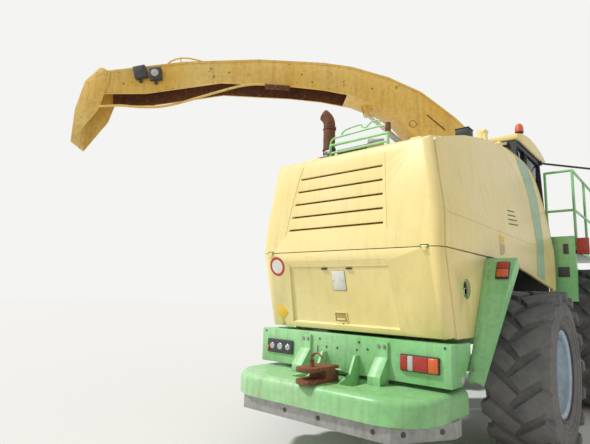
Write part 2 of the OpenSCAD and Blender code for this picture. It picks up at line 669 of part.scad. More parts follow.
// Side windows, drawn in by g
function rear_light(g) = [[cab_y0 + 45 + g, cab_z0 + 620 + g], [cab_y0 + g, cab_z1 - 80 - g],
    [1760 - g, cab_z1 - 80 - g], [1760 - g, cab_z0 + 620 + g]];
function front_light(y, g) = [[y + g, cab_z0 + 300 + g], [y + g, cab_z1 - 80 - g],
    [cab_y1 - 200 - g, cab_z1 - 80 - g], [cab_y1 - 30 - g, cab_z0 + 700],
    [cab_y1 - 70 - g, cab_z0 + 300 + g]];
module cab_side_outline()
    polygon([for (p = cab_back) [p[1], p[0]], for (i = [2:-1:0]) [cab_front[i][1], cab_front[i][0]]]);
module cab_body() color("#3b3f42") at_origin() {
    difference() {
        side_cut(-cab_hw, cab_hw) cab_side_outline();
        side_cut(-cab_hw + cab_t, cab_hw - cab_t) polygon([[cab_y0 + cab_t, cab_z0 + cab_t],
            [cab_y0 - 40 + cab_t, cab_z1 + 1], [cab_y1 - 130 - cab_t, cab_z1 + 1],
            [cab_y1 + 60 - cab_t, cab_z0 + 700], [cab_y1 - cab_t, cab_z0 + cab_t]]);
        side_cut(0, cab_hw + 1) {
            polygon(rear_light(0));
            polygon(front_light(1840, 0));
        }
        // the left side has the doorway between its two windows
        side_cut(-cab_hw - 1, 0) {
            polygon(rear_light(0));
            polygon([[door_y0, door_z0 - 6], [door_y0, door_z1], [door_y1, door_z1], [door_y1, door_z0 - 6]]);
            polygon(front_light(door_y1 + 60, 0));
        }
        box(-rear_glass_hw, rear_glass_hw, cab_y0 - 100, cab_y0 + cab_t + 1,
            rear_glass_z[0], rear_glass_z[1]);
        box(-front_glass_hw, front_glass_hw, cab_y1 - 200, cab_y1 + 100,
            front_glass_z[0], front_glass_z[1]);
    }
    // ears of the door's hinges
    for (z = door_hinge_z) {
        translate([door_axis[0], door_axis[1], z]) rotate([0, 90, 0]) hinge_ears(60, 12, 6);
        for (s = [-1, 1]) translate([0, 0, z + s * 37])
            box(door_axis[0] - 8, -cab_hw + 1, door_axis[1] - 40, door_axis[1], -6, 6);
    }
}
// Top of the roof along the machine
roof_line = arc([cab_y0 - 60, cab_z1 + 80], [cab_y1 + 90, cab_z1 + 65], roof_h - 75, 8);
function roof_z(y) = lookup(y, roof_line);
module cab_roof() color(cream) at_origin() side_cut(-cab_hw - 40, cab_hw + 40)
    polygon(concat([[cab_y0 - 60, cab_z1]], roof_line, [[cab_y1 + 90, cab_z1]]));
glass_t = 6;
// A pane behind a wall line given as [height, y], between heights z[0] and z[1]
module pane(hw, line, z, depth) side_cut(-hw + seat_gap, hw - seat_gap)
    let (at = [z[0] + seat_gap, for (p = line) if (p[0] > z[0] && p[0] < z[1]) p[0], z[1] - seat_gap],
         n = len(at) - 1)
        polygon([for (h = at) [lookup(h, line) + depth, h],
            for (i = [n:-1:0]) [lookup(at[i], line) + depth + glass_t, at[i]]]);
module cab_glass() color("#334a5c", 0.5) at_origin() {
    in = cab_hw - cab_t / 2;
    side_cut(in, in + glass_t) polygon(rear_light(seat_gap));
    side_cut(in, in + glass_t) polygon(front_light(1840, seat_gap));
    side_cut(-in - glass_t, -in) polygon(rear_light(seat_gap));
    side_cut(-in - glass_t, -in) polygon(front_light(door_y1 + 60, seat_gap));
    pane(rear_glass_hw, cab_back, rear_glass_z, 20);
    pane(front_glass_hw, cab_front, front_glass_z, -26);
}
module cab_door() color(dark) at_origin() {
    difference() {
        box(-cab_hw, -cab_hw + cab_t, door_y0 + 6, door_y1 - 6, door_z0, door_z1 - 6);
        box(-cab_hw - 1, -cab_hw + cab_t + 1, door_y0 + 80, door_y1 - 80, door_z0 + 110, door_z1 - 90);
    }
    for (z = door_hinge_z) {
        translate([door_axis[0], door_axis[1], z]) rotate([0, 90, 0]) hinge_barrel(60, 12, 6);
        box(door_axis[0] - 8, -cab_hw + 1, door_axis[1] + 9, door_axis[1] + 40, z - 30, z + 30);
    }
}
module door_glass() color("#334a5c", 0.5) at_origin()
    box(-cab_hw + cab_t / 2, -cab_hw + cab_t / 2 + glass_t, door_y0 + 80 + seat_gap, door_y1 - 80 - seat_gap,
        door_z0 + 110 + seat_gap, door_z1 - 90 - seat_gap);
module cab_seat() color("#3a3a3c") at_origin() {
    box(-230, 230, 1750, 2220, cab_z0 + cab_t, cab_z0 + 420);
    box(-250, 250, 1740, 2240, cab_z0 + 420, cab_z0 + 540);
    translate([0, 1800, cab_z0 + 520]) rotate([12, 0, 0]) box(-240, 240, -70, 50, 0, 640);
}
module cab_console() color("#444648") at_origin() {
    wheel_y = cab_y1 - 370;
    rod([0, wheel_y + 200, cab_z0 + cab_t + 14], [0, wheel_y, cab_z0 + 720], 45);
    box(-70, 70, wheel_y + 130, wheel_y + 270, cab_z0 + cab_t, cab_z0 + cab_t + 60);
    translate([0, wheel_y, cab_z0 + 740]) rotate([17, 0, 0]) {
        rotate_extrude() translate([190, 0]) circle(r = 16);
        for (a = [30, 150, 270]) rotate([0, 0, a]) translate([0, -14, -8]) cube([190, 28, 16]);
        translate([0, 0, -60]) cylinder(r = 50, h = 70);
    }
    box(300, 560, 1900, 2340, cab_z0 + cab_t, cab_z0 + 620);
}
module beacons() color("#e06a1c") at_origin() both_sides()
    translate([cab_hw - 75, 1800, roof_z(1862) + seat_gap]) {
    cylinder(r = 62, h = 90);
    translate([0, 0, 90]) cylinder(r = 52, h = 60);
    translate([0, 0, 150]) sphere(r = 52);
}
mirror_x = 1480;
module mirrors() color(dark) at_origin() both_sides() {
    y = wheelbase + 340;
    box(cab_hw + seat_gap, cab_hw + 40, cab_y1 - 180, cab_y1 - 140, cab_z1 - 70, cab_z1 - 5);
    rod([cab_hw + 30, cab_y1 - 160, cab_z1 - 40], [mirror_x, y, cab_z1 - 60], 16);
    rod([mirror_x, y, cab_z1 - 40], [mirror_x, y, cab_z1 - 700], 16);
    box(mirror_x - 105, mirror_x + 105, y - 35, y - 10, cab_z1 - 560, cab_z1 - 120);
}
// Platforms with the front mudguards under them and tube rails on top
platform_y0 = wheelbase - 1020;
platform_y1 = wheelbase + 800;
ladder_y = [wheelbase + 1070, wheelbase + 1500];
rail_y = wheelbase - 120;
module rails(posts) {
    for (p = posts) {
        rod([p[0], p[1], deck_z - lap], [p[0], p[1], deck_z + handrail_h], tube_r);
        translate([p[0], p[1], deck_z + handrail_h]) sphere(r = tube_r);
    }
    for (h = [0.5, 1], i = [1:len(posts) - 1])
        let (a = posts[i - 1], b = posts[i], z = deck_z + h * handrail_h)
            rod([a[0], a[1], z], [b[0], b[1], z], tube_r);
}
module platform(y1, plate_z1) {
    box(cab_hw + play, deck_x, platform_y0, y1, deck_z - 40, deck_z);
    side_cut(deck_x - 380, deck_x - 40) let (y = platform_y0)
        polygon([[y - 40, plate_z1], [y, plate_z1], [y + 60, 1960], [y, 1500], [y - 40, 1500]]);
    // brackets from the cab's floor beams
    for (y = [2300, 2640]) box(cab_hw + seat_gap, cab_hw + 60, y, y + 80, cab_z0 - 110, deck_z - 20);
}
module platforms() color(green) at_origin() {
    rail_x = deck_x - 30;
    platform(platform_y1, deck_z + 200);
    rails([[deck_x - 380, platform_y0 + 30], [rail_x, platform_y0 + 30], [rail_x, rail_y],
        [rail_x, platform_y1 - 30]]);
    mirror([1, 0, 0]) {
        platform(ladder_y[1] + 30, deck_z - 2);
        rails([[rail_x, rail_y], [rail_x, platform_y1 - 30], [rail_x, ladder_y[0] - 40]]);
        rails([[rail_x, ladder_y[1] + 10], [900, ladder_y[1] + 10]]);
        for (y = ladder_y) box(deck_x - 60, deck_x - 20, y, y + 30, 400, deck_z);
        for (i = [1:6])
            box(deck_x - 160, deck_x - 40, ladder_y[0], ladder_y[1] + 30, 130 + i * 320, 155 + i * 320);
    }
}

// Intake
module feed_house() color(green) at_origin() {
    difference() {
        side_cut(-feed_hw, feed_hw) polygon([[4115, 770], [feed_y1, feed_z0], [feed_y1, feed_z0 + feed_h],
            [4130, 1560], [4060, 1330]]);
        side_cut(-feed_hw + 40, feed_hw - 40) polygon([[4000, 860], [feed_y1 + 1, feed_z0 + 50],
            [feed_y1 + 1, feed_z0 + feed_h - 50], [4000, 1535]]);
        for (p = roller_at) translate([-feed_hw - 1, p[0], p[1]]) rotate([0, 90, 0])
            cylinder(r = 40 + fit, h = 2 * feed_hw + 2);
    }
    // brackets over the eyes of the cylinders' rods
    let (y = lift_eye[0], z = lift_eye[1]) both_sides() {
        box(feed_hw - lap, intake_x + 46, y - 50, y + 90, z + 80, z + 96);
        for (s = [-1, 1]) side_cut(intake_x + s * 38 - 8, intake_x + s * 38 + 8)
            polygon([[y - 50, z + 90], [y - 30, z - 30], [y + 40, z - 30], [y + 90, z + 90]]);
    }
    // hinge arms beside the drum housing
    both_sides() difference() {
        side_cut(406, feed_hw) {
            polygon([[feed_hinge_y, feed_hinge_z - 80], [4110, feed_hinge_z - 80],
                [4110, feed_hinge_z + 80], [feed_hinge_y, feed_hinge_z + 80]]);
            translate([feed_hinge_y, feed_hinge_z]) circle(r = 80);
        }
        translate([400, feed_hinge_y, feed_hinge_z]) rotate([0, 90, 0])
            cylinder(r = feed_pin_r + fit, h = 60);
    }
}
roller_at = [[4700, 1165], [4700, 800]];
module roller() {
    rotate([0, 90, 0]) cylinder(r = roller_r, h = 2 * feed_hw - 110, center = true);
    rotate([0, 90, 0]) cylinder(r = 40, h = 2 * feed_hw - 20, center = true);
}
module feed_roll_upper() color(steel) at_origin() translate([0, roller_at[0][0], roller_at[0][1]]) roller();
module feed_roll_lower() color(steel) at_origin() translate([0, roller_at[1][0], roller_at[1][1]]) roller();
// A lift cylinder drawn along +X from its foot pin: barrel with a foot eye, and a rod with an eye
eye_w = 50;
module barrel(long, r, rod_r, pin_r) difference() {
    union() {
        rotate([90, 0, 0]) cylinder(r = 0.8 * r, h = eye_w, center = true);
        rotate([0, 90, 0]) cylinder(r = 0.5 * r, h = 95);
        translate([90, 0, 0]) rotate([0, 90, 0]) cylinder(r = r, h = long - 90);
    }
    rotate([90, 0, 0]) cylinder(r = pin_r + fit, h = 2 * eye_w, center = true);
    translate([115, 0, 0]) rotate([0, 90, 0]) cylinder(r = rod_r + fit, h = long);
}
module ram(inner, long, rod_r, pin_r) {
    translate([inner, 0, 0]) rotate([0, 90, 0]) cylinder(r = rod_r, h = long - inner - pin_r - eye_play - 4);
    translate([long, 0, 0]) rotate([90, 0, 0]) difference() {
        cylinder(r = pin_r + 20, h = eye_w, center = true);
        cylinder(r = pin_r + eye_play, h = 2 * eye_w, center = true);
    }
}
// Play of a rod's eye on its pin
eye_play = 3;
lift_foot = [3560, 700];
lift_eye = [4560, 560];
intake_x = 500;
intake_pin_r = 20;
intake_rod_r = 24;
module on_intake() both_sides() translate([intake_x, lift_foot[0], lift_foot[1]])
    let (d = lift_eye - lift_foot) rotate([atan2(d[1], d[0]), 0, 0]) rotate([0, 0, 90]) children();
module intake_barrels() color(steel) at_origin() on_intake()
    barrel(620, 45, intake_rod_r, intake_pin_r);
module intake_rods() color("silver") at_origin() on_intake()
    ram(240, norm(lift_eye - lift_foot), intake_rod_r, intake_pin_r);
// Two cheeks and the foot pin between them; the cheeks' outline is the child
module cheeks(x, pin_r, r, at) {
    for (s = [-1, 1]) side_cut(x + s * 38 - 8, x + s * 38 + 8) {
        children();
        translate(at) circle(r = r);
    }
    translate([x, at[0], at[1]]) rotate([0, 90, 0]) cylinder(r = pin_r, h = 76, center = true);
}

// Spout, drawn with +X along the boom
module boom_frame() at_origin() translate([0, turret_y, 0]) rotate([0, 0, 270 - slew]) children();
module boom_cut(y0, y1) translate([0, y1, 0]) rotate([90, 0, 0]) linear_extrude(y1 - y0) children();
lift_pin = [-150, 3660];
boom_foot = [470, 3450];
boom_eye = [1230, 4060];
boom_pin_r = 18;
module on_boom_lift() translate([boom_foot[0], 0, boom_foot[1]]) let (d = boom_eye - boom_foot)
    rotate([0, -atan2(d[1], d[0]), 0]) children();
module boom_cheeks(at, r) for (s = [-1, 1]) boom_cut(s * 38 - 8, s * 38 + 8) {
    children();
    translate(at) circle(r = r);
}
ring_r = 310;
cheek_y = spout_hw + 20;
module turret() color(spout_paint) boom_frame() {
    translate([0, 0, 3380 + seat_gap]) difference() {
        cylinder(r = ring_r, h = 114);
        translate([0, 0, -1]) cylinder(r = 230, h = 116);
    }
    both_sides_y() difference() {
        boom_cut(cheek_y, cheek_y + 15) {
            polygon([[lift_pin[0] - 40, 3400], [lift_pin[0] - 40, lift_pin[1]],
                [lift_pin[0] + 40, lift_pin[1]], [lift_pin[0] + 90, 3400]]);
            translate(lift_pin) circle(r = 40);
        }
        translate([lift_pin[0], 200, lift_pin[1]]) rotate([-90, 0, 0]) cylinder(r = lift_pin_r + fit, h = 80);
    }
    boom_cheeks(boom_foot, 38) polygon([[ring_r - 40, 3385], boom_foot + [20, -34], boom_foot + [0, 38],
        [ring_r - 40, 3490]]);
    translate([boom_foot[0], 0, boom_foot[1]]) rotate([90, 0, 0])
        cylinder(r = boom_pin_r, h = 76, center = true);
}
module both_sides_y() { children(); mirror([0, 1, 0]) children(); }
spout_top = [[-200, 3700], [-160, 3850], [0, 4000], [280, 4205], [500, 4360], [970, 4550], [1500, 4670],
    [1900, 4700], [2800, 4685], [3800, 4580], [4870, 4366]];
spout_under = [[4850, 4040], [4300, 4080], [3300, 4300], [2330, 4310], [1880, 4290], [1430, 4230],
    [1050, 4100], [820, 3960], [640, 3760], [520, 3640], [-200, 3640]];
module spout() color(spout_paint) boom_frame() {
    difference() {
        boom_cut(-spout_hw, spout_hw) polygon(concat(spout_top, spout_under));
        boom_cut(-spout_hw + spout_t, spout_hw - spout_t) polygon(concat(
            [for (p = spout_top) p - [p[0] < 0 ? -spout_t : p[0] > 4800 ? -1 : 0, spout_t]],
            [[4901, 3900], [4850, 3900], [1700, 4100], [1500, 4300], [1050, 4130], [800, 3990],
             [620, 3790], [500, 3600], [-188, 3600]]));
    }
    // pins of the lift hinge and of the deflector
    both_sides_y() {
        translate([lift_pin[0], spout_hw - lap, lift_pin[1]]) rotate([-90, 0, 0])
            cylinder(r = lift_pin_r, h = cheek_y + 20 - spout_hw + lap);
        translate([deflector_pin[0], spout_hw - lap, deflector_pin[1]]) rotate([-90, 0, 0])
            cylinder(r = deflector_pin_r, h = tip_w / 2 - spout_hw + lap + 10);
    }
    boom_cheeks(boom_eye, 38) polygon([boom_eye - [38, 0], [1150, 4160], [1310, 4210], boom_eye + [38, 0]]);
}
deflector_pin = [4835, 4325];
deflector_pin_r = 15;
module deflector() color(spout_paint) boom_frame() difference() {
    boom_cut(-tip_w / 2, tip_w / 2) {
        polygon([[4880, 4403], [4930, 4400], [5100, 4200], [5190, 3800], [5200, 3350], [4900, 3800],
            [4790, 4200], deflector_pin + [-50, 0], deflector_pin + [0, 50]]);
        translate(deflector_pin) circle(r = 50);
    }
    boom_cut(-tip_w / 2 + 10, tip_w / 2 - 10) polygon([[4700, 4450], [4868, 4450], [4868, 4394], [4925, 4389],
        [5089, 4195], [5180, 3798], [5190, 3300], [4700, 3300]]);
    translate([deflector_pin[0], 0, deflector_pin[1]]) rotate([90, 0, 0])
        cylinder(r = deflector_pin_r + fit, h = 2 * tip_w, center = true);
}
module lift_barrel() color(steel) boom_frame() on_boom_lift() barrel(600, lift_barrel_r, 24, boom_pin_r);
module lift_rod() color("silver") boom_frame() on_boom_lift()
    ram(200, norm(boom_eye - boom_foot), 24, boom_pin_r);

main_frame();
rear_crossmember();
counterweight();
underrun_bar();
tow_hitch();
rear_lamps();
rear_axle();
knuckle_l();
knuckle_r();
rear_rim_l();
rear_rim_r();
rear_tyre_l();
rear_tyre_r();
front_axle();
front_rim_l();
front_rim_r();
front_tyre_l();
front_tyre_r();
engine_block();
crop_duct();
tail_hood();
rear_flap();
hood_deck();
side_panel_l();
side_panel_r();
lower_sides();
arch_plates();
guard_rail();
exhaust();
fuel_tank();
cab_body();
cab_roof();
cab_glass();
cab_door();
door_glass();
cab_seat();
cab_console();
beacons();
mirrors();
platforms();
feed_house();
feed_roll_upper();
feed_roll_lower();
intake_barrels();
intake_rods();
turret();
spout();
deflector();
lift_barrel();
lift_rod();
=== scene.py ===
import bpy
import bmesh
import json
import math
from mathutils import Euler, Matrix, Vector


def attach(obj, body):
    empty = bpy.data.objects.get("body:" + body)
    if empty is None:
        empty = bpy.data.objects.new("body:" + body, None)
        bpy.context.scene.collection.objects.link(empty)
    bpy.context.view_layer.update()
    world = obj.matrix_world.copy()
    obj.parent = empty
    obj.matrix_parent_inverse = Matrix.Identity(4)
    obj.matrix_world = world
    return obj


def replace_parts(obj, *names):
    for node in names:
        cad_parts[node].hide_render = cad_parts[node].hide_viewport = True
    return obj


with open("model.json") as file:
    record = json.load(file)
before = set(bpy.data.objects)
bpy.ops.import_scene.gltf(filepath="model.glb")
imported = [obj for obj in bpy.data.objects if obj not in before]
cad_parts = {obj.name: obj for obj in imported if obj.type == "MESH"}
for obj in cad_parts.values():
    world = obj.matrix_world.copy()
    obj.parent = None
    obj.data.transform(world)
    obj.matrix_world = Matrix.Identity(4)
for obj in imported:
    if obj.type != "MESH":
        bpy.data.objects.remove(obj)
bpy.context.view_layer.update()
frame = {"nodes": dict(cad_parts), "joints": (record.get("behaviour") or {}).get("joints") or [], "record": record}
nodes = frame["nodes"]
jointAt = {j["name"]: Vector(j["pos_m"]) for j in frame["joints"] if "pos_m" in j}
rearAxle = (jointAt["spin_rear_left"] + jointAt["spin_rear_right"]) / 2
print("frame loaded:", len(nodes), "nodes")


def at(x, y, z):  # machine axes: X from the centreline, Y ahead of the rear axle, Z from the ground
    return Vector((x + rearAxle.x, y + rearAxle.y, z))


# camera, at the photograph's viewpoint
camera = {"at": (2.491, -5.229, 1.458), "yaw": 40.995, "pitch": 9.12, "roll": 1.868, "lens": 27.94}


def makeCamera():
    yaw, pitch, roll = (math.radians(camera[k]) for k in ("yaw", "pitch", "roll"))
    ahead = Vector((-math.sin(yaw) * math.cos(pitch), math.cos(yaw) * math.cos(pitch), math.sin(pitch)))
    right = Vector((math.cos(yaw), math.sin(yaw), 0))
    up = right.cross(ahead)
    right, up = right * math.cos(roll) + up * math.sin(roll), up * math.cos(roll) - right * math.sin(roll)
    data = bpy.data.cameras.new("camera")
    data.lens = camera["lens"]
    data.sensor_width = 36
    data.sensor_fit = "HORIZONTAL"
    data.clip_start, data.clip_end = 0.05, 500
    obj = bpy.data.objects.new("camera", data)
    facing = Matrix((right, up, -ahead)).transposed().to_4x4()
    obj.matrix_world = Matrix.Translation(at(*camera["at"])) @ facing
    bpy.context.scene.collection.objects.link(obj)
    bpy.context.scene.camera = obj


makeCamera()


# finishes
def rgb(hexCode):  # sRGB hex to linear, with alpha
    parts = [int(hexCode[i : i + 2], 16) / 255 for i in (1, 3, 5)]
    return [c / 12.92 if c <= 0.04045 else ((c + 0.055) / 1.055) ** 2.4 for c in parts] + [1]


def add(tree, kind, settings=None, links=None):  # a node with its settings and links
    node = tree.nodes.new("ShaderNode" + kind)
    for name, value in (settings or {}).items():
        if isinstance(name, str) and hasattr(node, name):
            setattr(node, name, value)
        else:
            node.inputs[name].default_value = value
    for name, socket in (links or {}).items():
        tree.links.new(socket, node.inputs[name])
    return node


def startMaterial(name, settings):
    made = bpy.data.materials.new(name)
    made.use_nodes = True
    tree = made.node_tree
    shader = tree.nodes["Principled BSDF"]
    for key, value in settings.items():
        shader.inputs[key].default_value = value
    return made, tree, shader, add(tree, "TexCoord").outputs["Object"]


def closeMaterial(tree, shader, colour, rough, relief, bump):  # bump: how strong, how deep in metres
    tree.links.new(colour, shader.inputs["Base Color"])
    tree.links.new(rough, shader.inputs["Roughness"])
    pressed = add(tree, "Bump", {"Strength": bump[0], "Distance": bump[1]}, {"Height": relief})
    tree.links.new(pressed.outputs[0], shader.inputs["Normal"])


def weathered(name, look):  # a coat that has faded in places, run with rain and caught dirt low down
    made, tree, shader, place = startMaterial(name, look["shader"])
    # rain runs: noise drawn out along Z, about 60 mm wide
    runPlace = add(tree, "Mapping", {"Scale": (11, 11, 0.8)}, {"Vector": place}).outputs[0]
    # splashed dirt thins out upwards
    height = add(tree, "SeparateXYZ", {}, {0: place}).outputs["Z"]
    settings = {"From Min": look["dirtTop"], "From Max": 0.1, "To Max": look["splash"]}
    near = add(tree, "MapRange", settings, {"Value": height}).outputs[0]
    edge = look["chipFrom"]
    layers = {  # the colour on top, its place, its noise, and from where to where the noise shows, how much
        "fade": ("faded", place, {"Scale": 0.9, "Detail": 4}, (0.38, 0.66, look["fade"])),
        "mottle": ("dirt", place, {"Scale": 17, "Detail": 7, "Roughness": 0.62},
                   (0.45, 0.75, look["mottle"])),
        "runs": ("dirt", runPlace, {"Scale": 1.5, "Detail": 5}, (0.5, 0.72, look["runs"])),
        "splash": ("mud", place, {"Scale": 7, "Detail": 9, "Roughness": 0.7}, (0.3, 0.62, 1)),
        "chips": ("chip", place, {"Scale": look["chipScale"], "Detail": 8, "Roughness": 0.68},
                  (edge, edge + 0.035, 0.9)),
    }
    colour, noise, cover = None, {}, {}
    for layer, (top, where, settings, (start, end, most)) in layers.items():
        noise[layer] = add(tree, "TexNoise", settings, {"Vector": where}).outputs["Fac"]
        settings = {"From Min": start, "From Max": end, "To Max": most}
        cover[layer] = add(tree, "MapRange", settings, {"Value": noise[layer]}).outputs[0]
        if layer == "splash":
            links = {0: near, 1: cover[layer]}
            cover[layer] = add(tree, "Math", {"operation": "MULTIPLY"}, links).outputs[0]
        settings = {"data_type": "RGBA", 6: rgb(look["base"]), 7: rgb(look[top])}
        links = {0: cover[layer]} if colour is None else {0: cover[layer], 6: colour}
        colour = add(tree, "Mix", settings, links).outputs[2]
    dull, duller = look["rough"]
    rough = add(tree, "MapRange", {"To Min": dull, "To Max": duller}, {"Value": noise["mottle"]})
    rough = add(tree, "Math", {"operation": "MAXIMUM"}, {0: rough.outputs[0], 1: cover["splash"]})
    relief = add(tree, "Math", {"operation": "SUBTRACT"}, {0: noise["mottle"], 1: cover["chips"]})
    closeMaterial(tree, shader, colour, rough.outputs[0], relief.outputs[0], (look["bump"], 0.004))
    return made


coat = {"Coat Weight": 0.25, "Coat Roughness": 0.25, "Specular IOR Level": 0.4}
finish = {}
# gelcoat on moulded hood panels: satin, sun-bleached on top, grey runs from the seams
creamLook = {
    "shader": coat, "base": "#EFD98F", "faded": "#F1E0A4", "dirt": "#B29E68", "mud": "#8D7B5B",
    "chip": "#8A7A58", "fade": 0.8, "mottle": 0.12, "runs": 0.16, "dirtTop": 1.5, "splash": 0.4,
    "chipScale": 26, "chipFrom": 0.745, "rough": (0.3, 0.5), "bump": 0.08,
}
finish["hood_paint"] = weathered("moulded_panel_cream_gelcoat", creamLook)
# a darker copy of the gelcoat: painted shade on the recess's brow, in the latch pan and along the side crease and
# edge lines; the same tan also serves the blank labels
finish["creamShade"] = weathered(
    "moulded_panel_cream_gelcoat_painted_shade_and_label_tan",
    {**creamLook, "base": "#B39A5C", "faded": "#C2AB6E", "dirt": "#7F6E42"},
)
# printed film on the blank signs: white, red and yellow, chalked by the sun
filmLook = {
    **creamLook, "shader": {"Specular IOR Level": 0.4}, "dirt": "#A29A88", "mottle": 0.25, "bump": 0.04,
}
finish["plateWhite"] = weathered("sign_film_white", {**filmLook, "base": "#DCDAD2", "faded": "#E4E2DA"})
finish["signRed"] = weathered(
    "sign_film_red", {**filmLook, "base": "#B8322B", "faded": "#C2483E", "dirt": "#8A4438"}
)
finish["signYellow"] = weathered("sign_film_yellow", {**filmLook, "base": "#F0BE1E", "faded": "#F2C63C"})
# sprayed enamel on plate steel: bleached to a milky green, scratched through to primer
greenLook = {
    "shader": coat, "base": "#7FC67C", "faded": "#A9DCA2", "dirt": "#64785A", "mud": "#857E62",
    "chip": "#6A5A45", "fade": 0.9, "mottle": 0.28, "runs": 0.3, "dirtTop": 1.1, "splash": 0.55,
    "chipScale": 22, "chipFrom": 0.69, "rough": (0.35, 0.6), "bump": 0.16,
}
finish["green_paint"] = weathered("sprayed_steel_green_enamel", greenLook)
# the stripe down the side panels is film of a paler grey green
finish["stripe_film"] = weathered(
    "stripe_film_grey_green",
    {**greenLook, "base": "#93B48E", "faded": "#A6C09E", "dirt": "#7C8C70", "runs": 0.15},
)
# enamel on the spout's thin sheet: bleached yellow, worn brown where the crop and rain run
finish["spout_paint"] = weathered(
    "sprayed_sheet_yellow_enamel",
    {
        "shader": coat, "base": "#E3B545", "faded": "#EBCF80", "dirt": "#A87A38", "mud": "#8A6B3C",
        "chip": "#7A4526", "fade": 0.85, "mottle": 0.38, "runs": 0.3, "dirtTop": 1.3, "splash": 0.3,
        "chipScale": 15, "chipFrom": 0.63, "rough": (0.4, 0.7), "bump": 0.25,
    },
)
# wheel enamel: pale blue-grey, rust creeping from the seam of the well
finish["rim_paint"] = weathered(
    "sprayed_rim_blue_grey_enamel",
    {
        "shader": coat, "base": "#A9C4DA", "faded": "#C3D3DE", "dirt": "#7C7468", "mud": "#877C6C",
        "chip": "#7B5136", "fade": 0.6, "mottle": 0.35, "runs": 0.3, "dirtTop": 1.6, "splash": 0.5,
        "chipScale": 16, "chipFrom": 0.66, "rough": (0.35, 0.6), "bump": 0.2,
    },
)
# hot-dip zinc: dull grey, dusty
finish["galvanised"] = weathered(
    "hot_dip_galvanised_steel",
    {
        "shader": {"Metallic": 0.55}, "base": "#9EA0A1", "faded": "#B9BAB8", "dirt": "#6E6A61",
        "mud": "#80786A", "chip": "#6B5A48", "fade": 0.8, "mottle": 0.45, "runs": 0.3, "dirtTop": 1.4,
        "splash": 0.55, "chipScale": 30, "chipFrom": 0.7, "rough": (0.4, 0.65), "bump": 0.2,
    },
)
# bare cast and scaled steel, rusted through
finish["rust"] = weathered(
    "rusted_steel",
    {
        "shader": {"Metallic": 0.1}, "base": "#6B402A", "faded": "#8C5A3A", "dirt": "#3B2A22",
        "mud": "#6B5A48", "chip": "#A8704A", "fade": 1.0, "mottle": 0.8, "runs": 0.4, "dirtTop": 1.0,
        "splash": 0.4, "chipScale": 24, "chipFrom": 0.6, "rough": (0.7, 0.95), "bump": 0.5,
    },
)
# engine castings under grey enamel: dark, blotched with oil and dust
finish["engine_iron"] = weathered(
    "cast_iron_grey_enamel",
    {
        "shader": {}, "base": "#4A4B4C", "faded": "#5C5B58", "dirt": "#2B2722",
        "mud": "#5A5044", "chip": "#5B3B28", "fade": 0.7, "mottle": 0.6, "runs": 0.4, "dirtTop": 1.4,
        "splash": 0.4, "chipScale": 20, "chipFrom": 0.66, "rough": (0.6, 0.85), "bump": 0.4,
    },
)
# tyre rubber: grey with dust, bluish black where the tread is scrubbed
finish["tyre_rubber"] = weathered(
    "vulcanised_tyre_rubber",
    {
        "shader": {"Specular IOR Level": 0.3}, "base": "#53565B", "faded": "#75777A", "dirt": "#888580",
        "mud": "#948A7B", "chip": "#9A9285", "fade": 1.0, "mottle": 0.6, "runs": 0.0, "dirtTop": 2.4,
        "splash": 0.5, "chipScale": 9, "chipFrom": 0.66, "rough": (0.75, 0.95), "bump": 0.5,
    },
)
# moulded dark plastic and rubber trim
finish["cab_trim"] = weathered(
    "moulded_dark_grey_plastic",
    {
        "shader": {"Specular IOR Level": 0.35}, "base": "#2E3134", "faded": "#43464A", "dirt": "#5A564E",
        "mud": "#5A564E", "chip": "#55585B", "fade": 0.7, "mottle": 0.3, "runs": 0.25, "dirtTop": 2.2,
        "splash": 0.3, "chipScale": 30, "chipFrom": 0.74, "rough": (0.45, 0.65), "bump": 0.2,
    },
)
# hard chrome on the cylinder rods: bright under a thin film of dust
finish["rod_chrome"] = weathered(
    "hard_chromed_rod",
    {
        "shader": {"Metallic": 1.0}, "base": "#C9CBCD", "faded": "#B9BBBD", "dirt": "#8D867A",
        "mud": "#8D867A", "chip": "#9A8F80", "fade": 0.4, "mottle": 0.2, "runs": 0.1, "dirtTop": 1.0,
        "splash": 0.2, "chipScale": 30, "chipFrom": 0.8, "rough": (0.12, 0.3), "bump": 0.03,
    },
)


def makeGlass(name, look):  # toughened glass, smoked blue, with a film of dust
    made, tree, shader, place = startMaterial(name, look["shader"])
    speckle = {"Scale": 5, "Detail": 8, "Roughness": 0.6}
    dust = add(tree, "TexNoise", speckle, {"Vector": place}).outputs["Fac"]
    film = add(tree, "MapRange", {"From Min": 0.4, "From Max": 0.8, "To Max": look["dust"]}, {"Value": dust})
    colours = {"data_type": "RGBA", 6: rgb(look["tint"]), 7: rgb(look["dusty"])}
    colour = add(tree, "Mix", colours, {0: film.outputs[0]}).outputs[2]
    clean, dull = look["rough"]
    rough = add(tree, "MapRange", {"To Min": clean, "To Max": dull}, {"Value": dust}).outputs[0]
    closeMaterial(tree, shader, colour, rough, dust, (0.02, 0.002))
    return made


finish["tinted_glass"] = makeGlass(
    "toughened_glass_blue_tint",
    {
        "shader": {"Transmission Weight": 0.55, "IOR": 1.5}, "tint": "#1F3A52", "dusty": "#8F8C84",
        "dust": 0.25, "rough": (0.02, 0.12),
    },
)

lensShader = {"Transmission Weight": 0.25, "IOR": 1.49, "Coat Weight": 0.4}


